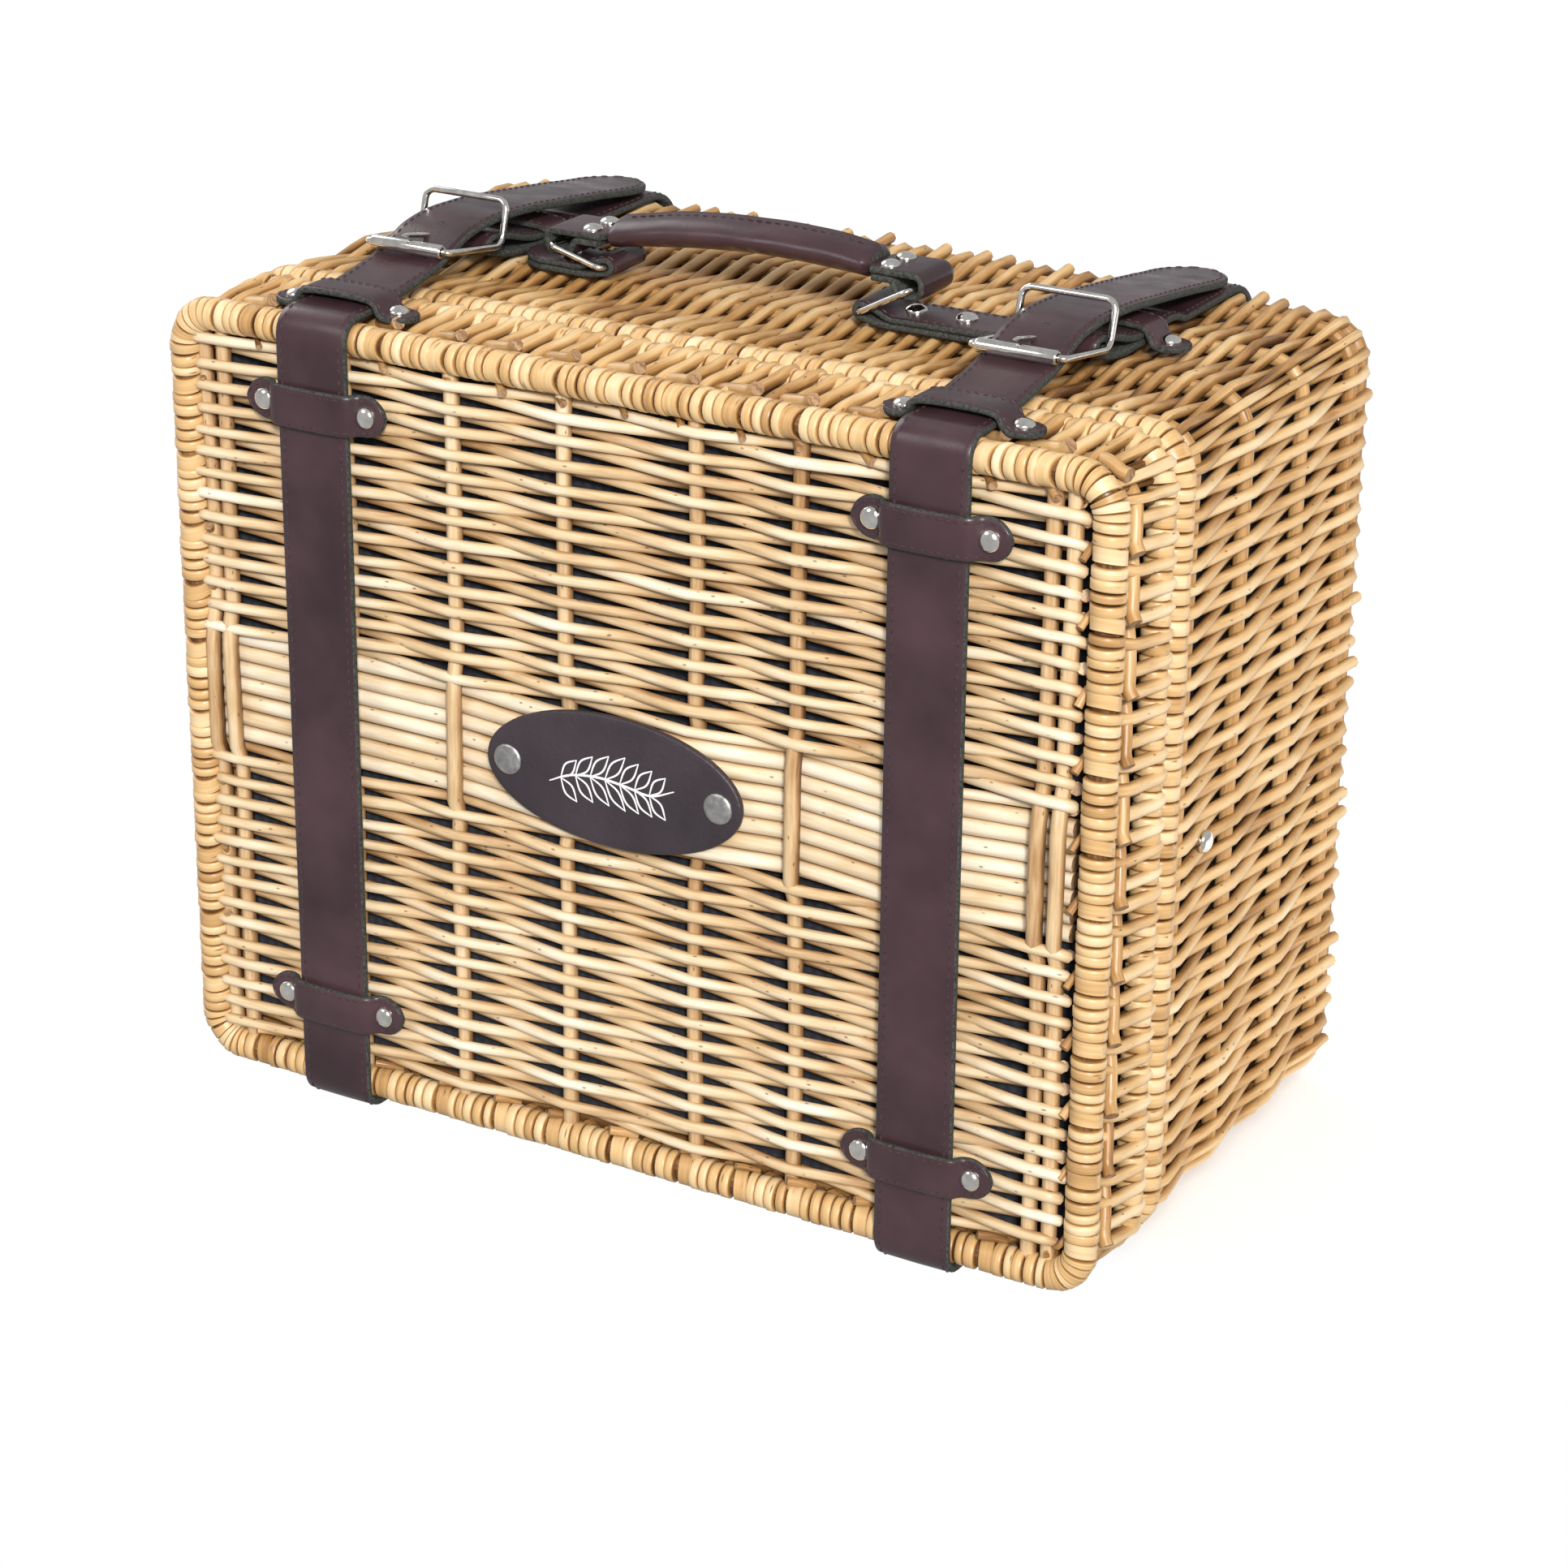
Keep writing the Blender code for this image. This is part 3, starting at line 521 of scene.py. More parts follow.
def panel_stakes(bundle, outward, band):
    for group, over in zip(PANEL_STAKES, BAND_OVER, strict=True):
        for x in group:
            z = np.linspace(BASE + 11 * MM, TOP - 11 * MM, 36)
            near = np.clip(1 - np.maximum(BAND[0] - z, z - BAND[1]) / (9 * MM), 0, band)
            depth = STAKE_DEPTH + (-3.4 if over else 3.3) * MM * near * near * (3 - 2 * near)
            path = columns(x * MM + wobble(z, 0.7 * MM, 0.1), outward(depth), z)
            size = STAKE * (1 + wobble(z, 0.05, 0.06))
            # The stakes get painted shade on their inward and touching sides.
            tube(bundle, path, size, (outward(0) > 0 or -1, 0, 0), picked(0.56, 0.08, 0.2, 0.9), painted_shade=0.4)


def band_rods(bundle, outward):
    """Seven thick rods laid together across the face, passing the stakes as one."""
    count = 7
    pitch = (BAND[1] - BAND[0]) / count
    stakes = [(x * MM, STAKE_DEPTH + (2.9 if over else -3.2) * MM)
              for group, over in zip(PANEL_STAKES, BAND_OVER, strict=True) for x in group]
    places, depths = np.array(stakes).T
    places[[0, -1]] += (-4 * MM, 4 * MM)
    x, d = over_under(places, depths)
    for i in range(count):
        z = BAND[0] + pitch * (i + 0.5) + wobble(x, 0.3 * MM, 0.15)
        size = BAND_ROD * (1 + rng.uniform(-0.04, 0.02) + wobble(x, 0.03, 0.08))
        # The band rods get painted shade on their inward and touching sides.
        tube(bundle, columns(x, outward(d), z), size, (0, 0, 1), picked(0.87, 0.06, 0.3, 0.98),
             cap_kind=1, painted_shade=0.42)


def woven_panel(outward, band):
    bundle = Bundle()
    low, high = BASE + 15.2 * MM, TOP - 14.6 * MM
    for start, end in ((low, BAND[0]), (BAND[1], high)) if band else ((low, high),):
        count = round((end - start) / PANEL_PITCH)
        for i in range(count):
            level = start + (end - start) * (i + 0.5) / count + rng.normal(0, 0.32 * MM)
            panel_row(bundle, level, i % 2, outward)
    panel_stakes(bundle, outward, band)
    if band:
        band_rods(bundle, outward)
    return bundle


# ---- border rolls
def hoop(bundle, out, depth, radius, tone, sides=10):
    """A closed round strand that goes all the way round the case."""
    run = np.linspace(0, OUTLINE, 281)[:-1, None]
    turns = whole_turn(sides)[::-1]
    rings = columns(run, out + radius * np.cos(turns), depth + radius * np.sin(turns))
    bundle.add(rings, tone, loop=True)


def wrap(bundle, run, width, inset, depth, inner, outer, tilt, tone, full=0.35 * MM):
    """One flat strip round the roll's core; full is how far its edges fall below its middle."""
    turns = whole_turn(18)[:, None]
    half = width / 2 - np.array((0, 0.05, 0.6)) * MM
    shift = np.concatenate([half, -half[::-1]])
    reach = np.array((inner, outer - full - 0.35 * MM, outer - full * 0.3))
    reach = np.concatenate([reach, reach[::-1]])
    rings = columns(run + shift + tilt * np.sin(turns), -inset + reach * np.cos(turns),
                    depth + reach * np.sin(turns))
    # Painted shade: the strip's edges are painted darker, for the shade in the seams between strips.
    bundle.add(rings, tone - np.array((0.6, 0.42, 0.0, 0.0, 0.42, 0.6)), loop=True)


def border_roll(bundle, inset, depth, radius, width, group, binder=None):
    """A core wrapped in flat strips; after each group comes a wider, darker binding strand."""
    # The core shows only in the gaps between the strips; its near-black tone is painted shade.
    hoop(bundle, -inset, depth, radius - 2.1 * MM, 0.08)
    here = 0.0
    binders = []
    while here < OUTLINE - width * 0.6:
        for _ in range(int(rng.integers(*group))):
            if here > OUTLINE - width * 0.6:
                break
            wide = width * rng.uniform(0.86, 1.14)
            outer = radius - rng.uniform(0.0, 0.4) * MM
            wrap(bundle, here + wide / 2, wide - 0.3 * MM, inset, depth, radius - 2.6 * MM, outer,
                 rng.uniform(0.3, 1.2) * MM, picked(0.66, 0.09, 0.2, 0.95))
            here += wide
        if binder and here < OUTLINE - binder:
            wrap(bundle, here + binder / 2, binder - 0.4 * MM, inset, depth, radius - 3.4 * MM,
                 radius - 0.4 * MM, rng.uniform(1.2, 2.4) * MM, picked(0.58, 0.09, 0.15, 0.8), 0.7 * MM)
            binders.append(here + binder / 2)
            here += binder
    return binders


def stub(bundle, run, knots, steps, size, tone, most):
    """A stake's cut end; its knots are millimetres from a place along the outline."""
    line = (run, 0, 0) + MM * smooth(knots, steps)
    tube(bundle, line, size * MM, (0, 1, 0), picked(tone, 0.08, 0.1, most), cap_kind=1)


def stake_tips(bundle, places):
    """The stakes' cut ends that peep out of the front roll, on the face and on the side."""
    for run in places:
        lean = rng.uniform(-1, 1)
        knots = (-5, -12, 11), (-1, -14.2, 7.5), (2.5 + lean, -15.4, 3.6 + abs(lean))
        stub(bundle, run, knots, 3, 1.7 * rng.uniform(0.7, 1.15), 0.30, 0.5)
        knots = ((-23, -8.6, 26), (-15, -5.6, 22.5), (-7, -3.6, 19), (-2, -2.6, 17),
                 (1.2, -0.3, 15.4 + lean))
        stub(bundle, run, knots, 4, 2.6 * rng.uniform(0.9, 1.1), 0.40, 0.6)


def painted_top_shade(run):
    """How much darker the willow is painted on the top side, as painted shade."""
    return 0.16 if on_case(np.array([[run, 0, 0]]))[0][2] > TOP - 5 * MM else 0.0


def lid_side(bundle):
    """The recessed band round the lid: pale ladder rods over darker ones that lie deeper, with painted shade:
    the ladder rods darken as they go into the recess, and the deeper rods are painted dark for the shade
    there.
    """
    hoop(bundle, *LID_HOOP)
    far = LID_DEPTH / MM - 6
    count = round(OUTLINE / LADDER_PITCH)
    for i in range(count):
        run = OUTLINE * i / count + rng.uniform(-0.6, 0.6) * MM
        slant = 4.0 + rng.uniform(-1, 1)
        knots = ((-0.3 * slant, -9.5, 11), (-0.1 * slant, -7.0, 16), (0.35 * slant, -4.3, 23),
                 (0.8 * slant, -3.3, far - 9), (slant, -2.2, far - 1), (1.1 * slant, -2.8, far + 4))
        line = (run, 0, 0) + MM * smooth(knots, 4)
        size = 2.45 * MM * rng.uniform(0.9, 1.1)
        # Painted shade: the ladder rod is painted darker the deeper it lies in the recess, and darker on the
        # top side.
        tone = rng.normal(0.80, 0.08) + (line[:, 1] + 3 * MM) / (14 * MM) - painted_top_shade(run)
        tube(bundle, line, size, (1, 0, 0), np.clip(tone, 0.1, 0.98), painted_shade=0.35)
        # The deeper rods are painted dark for the shade in the recess.
        under = smooth(((-2, -9.6, 12), (0, -9.2, 24), (3, -8.4, far - 4)), 3)
        line = (run + LADDER_PITCH / 2, 0, 0) + MM * under
        tube(bundle, line, 2.7 * MM, (1, 0, 0), picked(0.18, 0.06, 0.0, 0.4))


def wall_rods(bundle):
    """Rods that run back along the body, in and out of its hoops and round the rear edges."""
    count = 2 * round(OUTLINE / WALL_ROD_PITCH / 2)
    start = BODY_START + 2 * BODY_ROLL - 3 * MM
    swing = SWING - 0.5 * MM
    for i in range(count):
        run = OUTLINE * i / count + rng.normal(0, 0.25 * MM)
        side = np.array([1 if (k + i) % 2 else -1 for k in range(len(HOOPS))])
        depths = HOOP_OUT + swing * np.concatenate([[side[0] * 0.6], side])
        depth, out = over_under([start, *HOOPS], depths, 5)
        outer = side[-1] > 0
        if outer and rng.random() < 0.5:
            tip, flare = rng.uniform(217.5, 222) * MM, rng.uniform(-1.2, 1.2) * MM
            more = (out[-1] + flare * 0.3, 214 * MM), (out[-1] + flare, tip)
        elif outer:
            bend = 12.5 * MM
            more = [*arc((out[-1] - bend, 212.5 * MM), bend, (18, 40, 62, 85, 95)),
                    (out[-1] - bend - 6 * MM, 224.4 * MM)]
        else:
            bend = 7.5 * MM
            more = arc((out[-1] - bend, 211 * MM), bend, (20, 50, 80))
        out, depth = np.vstack([columns(out, depth), more]).T
        path = columns(run + wobble(depth, 0.45 * MM, 0.05), out, depth)
        size = ROD * (1.03 + rng.uniform(-0.08, 0.08)) * (1 + wobble(depth, 0.04, 0.04))
        # Painted shade: each rod is painted darker where it passes deeper, inside the hoops, and darker on
        # the top side.
        deep = np.clip((HOOP_OUT - out) / swing, -1, 1)
        tone = np.clip(rng.normal(0.73, 0.10) - 0.17 * (deep + 1) - painted_top_shade(run), 0.06, 0.97)
        tube(bundle, path, size, (1, 0, 0), tone, cap_kind=1, painted_shade=0.32)


def body_wall(bundle):
    for depth in HOOPS:
        hoop(bundle, HOOP_OUT, depth, STAKE * 0.95, 0.40)
    hoop(bundle, *REAR_HOOP)
    wall_rods(bundle)


def wicker():
    """All the willow, each piece standing for its CAD solid."""
    face = woven_panel(lambda d: FRONT + d, band=True)
    face.piece("lid_face_weave", WEAVE, "lid", "willow_weave", "lid_face_panel")

    roll = Bundle(on_case)
    tips = border_roll(roll, FRONT_ROLL, FRONT_ROLL, FRONT_ROLL, 4.3 * MM, (4, 6), binder=6.8 * MM)
    stake_tips(roll, tips)
    roll.piece("lid_front_border", ROLL, "lid", "willow_border", "lid_front_roll")

    side = Bundle(on_case)
    border_roll(side, 5.9 * MM, LID_DEPTH - 5.7 * MM, 5.6 * MM, 5.0 * MM, (5, 9))
    lid_side(side)
    side.piece("lid_side_weave", ROLL, "lid", "willow_weave", "lid_side_wall")

    rim = Bundle(on_case)
    border_roll(rim, BODY_ROLL, BODY_START + BODY_ROLL, BODY_ROLL, 5.6 * MM, (4, 8))
    rim.piece("body_rim_border", ROLL, "case", "willow_border", "body_rim_roll")
    wall = Bundle(on_case)
    body_wall(wall)
    wall.piece("body_wall_weave", ROLL, "case", "willow_weave", "body_side_wall")
    back = woven_panel(lambda d: REAR - d, band=False)
    back.piece("body_back_weave", WEAVE, "case", "willow_weave", "body_back_panel")


# ---- linings
def lining(inset, closed_at, open_at, thick=0.8 * MM, radius=8 * MM):
    """A cloth tray: a floor at closed_at and sides that reach to open_at, all one thin shell."""
    def loop(shrink, depth):
        half = HALF_WIDTH - inset - shrink - radius
        low, high = BASE + inset + shrink + radius, TOP - inset - shrink - radius
        corners = ((half, high), (-half, high), (-half, low), (half, low))
        x, z = np.vstack([arc(corner, radius, np.arange(0, 91, 30) + 90 * k)
                          for k, corner in enumerate(corners)]).T
        return columns(x, FRONT + depth, z)

    inward = 1 if open_at > closed_at else -1
    steps = np.linspace(closed_at, open_at, 9)
    shrinks = (0.12, 0.08, 0.04, 0.015)
    rings = [loop(f, closed_at) for f in shrinks] + [loop(0, d) for d in steps]
    rings += [loop(thick, d) for d in steps[:0:-1]]
    rings += [loop(f + thick, closed_at + inward * thick) for f in (0, *shrinks[::-1])]
    bundle = Bundle()
    bundle.add(np.array(rings)[:, ::inward], cap_kind=0)
    return bundle


def linings():
    for name, inset, closed_at, open_at, body, rests_on in (
            ("lid_lining", 15.2 * MM, 16.0 * MM, LID_DEPTH - 1 * MM, "lid", "lid_face_weave"),
            ("body_lining", 15.3 * MM, DEPTH - 17 * MM, BODY_START + 1 * MM, "case", "body_back_weave")):
        cloth = lining(inset, closed_at, open_at).piece(name + "_cloth", NAVY, body, "lining", name)


# ---- leather
def normals(path):
    tangent = unit(np.gradient(path, axis=0))
    return tangent, columns(-tangent[:, 1], tangent[:, 0])


def band(bundle, path, widths, thick, place, crown=0.3 * MM):
    """A leather strap: path and widths in its own plane, rounded edges, a slightly full face."""
    half = thick / 2
    soft = 0.55 * MM
    full = half + crown * 0.6
    rings = []
    for point, out, width in zip(path, normals(path)[1], widths, strict=True):
        profile = ((-width + soft, half), (-width * 0.8, full), (0, half + crown), (width * 0.8, full),
                   (width - soft, half), (width, half - soft), (width, -half + soft), (width - soft, -half),
                   (0, -half), (-width + soft, -half), (-width, -half + soft), (-width, half - soft))
        rings.append([place(*(point + out * h), w) for w, h in profile])
    bundle.add(np.array(rings)[:, ::-1], kinds=[1] * 7 + [0] * 4 + [1], cap_kind=1)


def stitches(bundle, path, widths, thick, place, margin=2.6 * MM, pitch=4.2 * MM, start=0.0):
    """A row of stitches along each edge of a strap, from so far along it."""
    fine, places = resampled(path, pitch / 2)
    wide = np.interp(places, travelled(path), widths)
    tangent, normal = normals(fine)
    rise = thick / 2 + 0.16 * MM
    for way in (-1, 1):
        for i in range(1, len(fine) - 1, 2):
            if wide[i] < margin + 1.5 * MM or places[i] < start:
                continue
            slope = (wide[i + 1] - wide[i - 1]) / (places[i + 1] - places[i - 1])
            knots = []
            for share, sink in ((-0.72, 0.28 * MM), (-0.3, 0.0), (0.3, 0.0), (0.72, 0.28 * MM)):
                spot = fine[i] + tangent[i] * pitch / 2 * share + normal[i] * (rise - sink)
                knots.append(place(*spot, way * (wide[i] + slope * pitch / 2 * share - margin)))
            side = np.array(place(*fine[i], way)) - np.array(place(*fine[i], 0))
            size = np.array([0.22, 0.42, 0.42, 0.22]) * MM
            tube(bundle, knots, size, side, kind=2, sides=6, cap_kind=2)


def tapered(path, half, first=0.0, last=0.0, step=2.0 * MM):
    """The path finely divided, with a half width for each point and rounded ends."""
    path, places = resampled(path, step)
    near = 1 - np.cos(np.linspace(0.04, math.pi / 2, 9))
    every = np.concatenate([places, first * near, places[-1] - last * near])
    every = np.unique(np.round(every, 6))
    path = columns(*(np.interp(every, places, line) for line in path.T))
    widths = np.full(len(every), half)
    for length, away in ((first, every), (last, every[-1] - every)):
        if length:
            share = np.clip(1 - away / length, 0, 1)
            widths = np.minimum(widths, half * np.maximum(0.12, np.sqrt(1 - share ** 2)))
    return path, widths


def behind(depth, height):
    return FRONT + depth * MM, TOP + height * MM


def on_top(*places):
    """Points (depth, height) in millimetres behind the lid face and over the top."""
    return [behind(*place) for place in places]


def belt_paths():
    """The front belt's path and the back belt's, which folds round the buckle's bar."""
    face, rear = FRONT - BELT_LIFT, REAR + BELT_LIFT
    front_bend, rear_bend = FRONT_ROLL + BELT_LIFT, 15 * MM + BELT_LIFT
    over = rounded([(HINGE_Y - HINGE_REACH, HINGE_Z), (face, HINGE_Z), (face, TOP + BELT_LIFT),
                    behind(10, BELT_LIFT / MM)], (front_bend, front_bend))
    route = on_top((20, 2.3), (38, 4.6), (58, 8.2), (66, 10.8), (73, 13.6), (81, 16.2), (95, 17.9),
                   (110, 17.6), (125, 16.6), (142, 14.6), (171, 11.0), (195, 7.6), (218, 5.2))
    front_path = np.vstack([over[:-1], smooth([over[-1]] + route, 5)])

    centre = np.array(behind(*BUCKLE_BAR))
    bend = 1.3 * MM + GAP + BELT_THICK / 2
    under = rounded([(HINGE_Y + HINGE_REACH, HINGE_Z), (rear, HINGE_Z), (rear, TOP + BELT_LIFT),
                     behind(168, BELT_LIFT / MM)], (rear_bend, rear_bend))
    upper = (BELT_LIFT + BELT_THICK + GAP) / MM
    route = on_top((158, upper), (140, upper), (124, upper + 0.6), (108, 9.4))
    rise = smooth([under[-1]] + route + [centre + (1.5 * MM, bend)], 5)
    fold = arc(centre, bend, np.arange(90, 271, 12))
    lower = smooth([fold[-1]] + on_top((106, 3.0), (118, 1.6), (134, 1.6), (148, 1.6)), 5)
    return front_path, np.vstack([under[:-1], rise[:-1], fold, lower[1:]])[::-1]


def belt_hole(bundle, path, place):
    """The dark spot of a hole that shows on the belt behind the prong: a flat disc in the dark edge finish,
    painted shade in place of an open hole.
    """
    hole = np.argmin(np.linalg.norm(path - behind(83, 16.5), axis=1))
    heading = unit(path[hole + 1] - path[hole - 1])
    raised = path[hole] + np.array((-heading[1], heading[0])) * (BELT_THICK / 2 + 0.33 * MM)
    rings = []
    for size, sunk in ((1.9, 0.15), (1.7, 0.0), (0.1, 0.05)):
        circle = size * MM * arc((0, 0), 1, np.arange(0, 360, 30))
        rings.append([place(*(raised + heading * s - (0, sunk * MM)), c) for c, s in circle])
    bundle.add(np.array(rings), kind=1)


def belts():
    front_path, back_path = belt_paths()
    for side, x in BOTH_BELTS:
        def place(y, z, w, x=x):
            return x + w, y, z

        for name, path, end, body in (("front", front_path, 20 * MM, "lid"), ("back", back_path, 0, "case")):
            bundle = Bundle()
            path, widths = tapered(path, BELT_HALF, last=end)
            band(bundle, path, widths, BELT_THICK, place)
            stitches(bundle, path, widths, BELT_THICK, place)
            if name == "front":
                belt_hole(bundle, path, place)
            bundle.piece(f"{name}_belt_{side}", LEATHER, body, "belt_leather", f"belt_{name}_{side}")

        bundle = Bundle()
        path, widths = tapered([(HINGE_Y - HINGE_REACH, HINGE_Z), (HINGE_Y + HINGE_REACH, HINGE_Z)],
                               BELT_HALF - 0.1 * MM, step=1.0 * MM)
        band(bundle, path, widths, BELT_THICK - 0.1 * MM, place, crown=0.0)
        piece = bundle.build("hinge_leather_" + side, LEATHER)
        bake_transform(piece)


def node_body(node):
    return frame["nodes"][node]["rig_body"]


def keeper(name, base, crest, place):
    """A short loop over a belt, flat where it is riveted and full over the belt."""
    over = BELT_HALF + GAP + KEEPER_THICK / 2
    lift = crest - base
    half = ((31 * MM, base), (21.5 * MM, base), (over + 1.6 * MM, base + lift * 0.30),
            (over - 0.6 * MM, base + lift * 0.86), (11 * MM, crest + 0.25 * MM))
    knots = (*((-x, h) for x, h in half), (0, crest + 0.55 * MM), *half[::-1])
    path, widths = tapered(smooth(knots, 6), KEEPER_HALF_WIDTH, first=9 * MM, last=9 * MM, step=1.2 * MM)
    bundle = Bundle()
    band(bundle, path, widths, KEEPER_THICK, place, crown=0.25 * MM)
    stitches(bundle, path, widths, KEEPER_THICK, place, margin=1.9 * MM, pitch=3.4 * MM)
    bundle.piece(name + "_loop", LEATHER, node_body(name), "belt_leather", name)


def keepers():
    thick = KEEPER_THICK / 2
    for side, x in BOTH_BELTS:
        for level in ("lower", "upper", "top", "rear"):
            name = f"keeper_{level}_{side}"
            low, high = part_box(name)
            _, y, z = (low + high) / 2
            if level in ("lower", "upper"):
                keeper(name, thick - high.y, -low.y - thick, lambda u, v, w, x=x, z=z: (x + u, -v, z + w))
            else:
                keeper(name, low.z + thick, high.z - thick, lambda u, v, w, x=x, y=y: (x + u, y - w, v))


# ---- rivets
def rivet(node, slot, finish, full, drop=0.0, wider=1.0):
    """A turned head in place of its CAD dome; full is how round it is, from 0 to 1."""
    low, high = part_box(node)
    size = high - low
    axis = min(range(3), key=lambda k: size[k])
    outward = {0: 1 if low.x > 0 else -1, 1: -1, 2: 1}[axis]
    radius = sorted(size)[1] / 2 * wider
    height = size[axis] * wider ** 2
    seat = np.array((low + high) / 2)
    seat[axis] = low[axis] if outward > 0 else high[axis]
    seat[2] -= drop
    dome = [(math.cos(t) ** (0.85 + 0.4 * full), 0.06 + 0.94 * math.sin(t))
            for t in np.radians(np.arange(8, 90, 9))]
    profile = ((1.0, -0.25), (1.0, 0.02), *dome, (0.02, 1.0))
    turns = whole_turn(24)[:, None]
    first, second = np.roll(np.eye(3), -axis - 1, axis=0)[:2]
    across = np.cos(turns) * first + np.sin(turns) * second * outward
    up = np.eye(3)[axis] * outward
    bundle = Bundle()
    bundle.add(np.array([seat + radius * r * across + up * height * h for r, h in profile]))
    bundle.piece(node + "_head", finish, node_body(node), slot, node)


def rivets():
    for node in sorted(frame["nodes"]):
        if node.startswith("rivet_badge"):
            rivet(node, "antique_nickel", ANTIQUE, 0.3, wider=1.14)
        elif node.startswith("rivet_"):
            rivet(node, "nickel", NICKEL, 0.6, HANG if node.startswith("rivet_handle_left") else 0.0)


# ---- buckles
def buckles():
    low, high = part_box("buckle_roller_left")
    roller = np.array((low.y + high.y, low.z + high.z)) / 2
    centre = np.array(behind(*BUCKLE_BAR))
    rear = np.array(behind(100.5, 25.5))
    half = 18.6 * MM
    for side, x in BOTH_BELTS:
        right, left = x + half, x - half
        corners = [(right, *roller), (right, *centre), (right, *rear),
                   (left, *rear), (left, *centre), (left, *roller)]
        line = rounded(corners, np.array((1.8, 5, 4.2, 4.2, 5, 1.8)) * MM, 7, loop=True)
        bundle = Bundle()
        share = np.clip((line[:, 1] - centre[0]) / (6 * MM) + 0.5, 0, 1)[:, None]
        fore, aft = unit(centre - roller), unit(rear - centre)
        flat = (1 - share) * (0, -fore[1], fore[0]) + share * np.array((0, -aft[1], aft[0]))
        tube(bundle, line, 1.3 * MM, flat, sides=12, loop=True)
        bar = [(x + w, *centre) for w in np.linspace(-half + 0.4 * MM, half - 0.4 * MM, 5)]
        tube(bundle, bar, 1.25 * MM, (0, 0, 1), sides=12)
        bundle.piece("buckle_wire_" + side, NICKEL, "frame_" + side, "nickel", "buckle_frame_" + side)

        bundle = Bundle()
        profile = ((-15.8, 1.7), (-15.8, 2.35), (-15.5, 2.62), (-15.1, 2.7),
                   (15.1, 2.7), (15.5, 2.62), (15.8, 2.35), (15.8, 1.7))
        rings = [columns(x + w * MM, *arc(roller, r * MM, np.arange(0, 360, 15)).T) for w, r in profile]
        bundle.add(np.stack(rings, 1), loop=True)
        bundle.piece("roller_tube_" + side, NICKEL, "roller_" + side, "nickel", "buckle_roller_" + side)

        bundle = Bundle()
        eye = 2.75 * MM
        loop = columns(x, *arc(centre, eye, np.arange(0, 360, 20)).T)
        tube(bundle, loop, 1.1 * MM, (1, 0, 0), sides=10, loop=True)
        tip = roller + np.array((-3.2 * MM, 5.1 * MM))
        start = centre + unit(tip - centre) * eye
        share = np.linspace(0, 1, 12)
        line = start + (tip - start) * share[:, None]
        line[:, 1] += 0.7 * MM * np.sin(math.pi * share)
        size = np.interp(share, (0, 0.9, 0.97, 1), (1.15, 1.0, 0.75, 0.35)) * MM
        tube(bundle, columns(x, *line.T), size, (1, 0, 0), sides=10)
        bundle.piece("prong_wire_" + side, NICKEL, "prong_" + side, "nickel", "buckle_prong_" + side)


# ---- handle
def handle_height(u):
    """The strap's height over the top; its left end hangs lower."""
    share = u / GRIP_HALF
    return GRIP_CREST - GRIP_DROP * share ** 2 - HANG * np.clip((1 - share) / 2, 0, 1) ** 1.5


def handle_place(u, v, w):
    return HANDLE_X + u, FRONT + HANDLE_DEPTH + w, TOP + v


def ring_tilt(way):
    """How steeply a ring stands at rest; the left one lies lower with the handle's end."""
    return RING_TILT if way > 0 else math.asin(math.sin(RING_TILT) - HANG / RING_LENGTH)


def handle_strap():
    """The strap's folded end tabs and the stretch that hides inside the grip."""
    thick = 2.4 * MM
    ends = []
    for way in (1, -1):
        high = float(handle_height(way * GRIP_HALF))
        low = high - thick - GAP
        ring_x = RING_BAR_X + RING_LENGTH * math.cos(ring_tilt(way))
        ring_h = RING_BAR_H + RING_LENGTH * math.sin(ring_tilt(way))
        outer = ring_x + 3.4 * MM
        floor = ring_h - 2.1 * MM - thick / 2
        end = rounded([(59.5 * MM, low), (ring_x - 9 * MM, low), (ring_x - 6.5 * MM, floor),
                       (outer, floor), (outer, high), (GRIP_HALF + 2 * MM, high)],
                      (1.6 * MM, 1.6 * MM, 3.2 * MM, 3.2 * MM), 6)
        ends.append(end * (way, 1))
    u = np.linspace(GRIP_HALF, -GRIP_HALF, 30)
    path = np.vstack([ends[0], columns(u, handle_height(u)), ends[1][::-1]])
    widths = np.where(np.abs(path[:, 0]) > GRIP_HALF + GAP, 12 * MM, 7 * MM)
    bundle = Bundle()
    band(bundle, path[::-1], widths[::-1], thick, handle_place, crown=0.2 * MM)
    bundle.piece("handle_band", LEATHER, "handle", "belt_leather", "handle_strap")


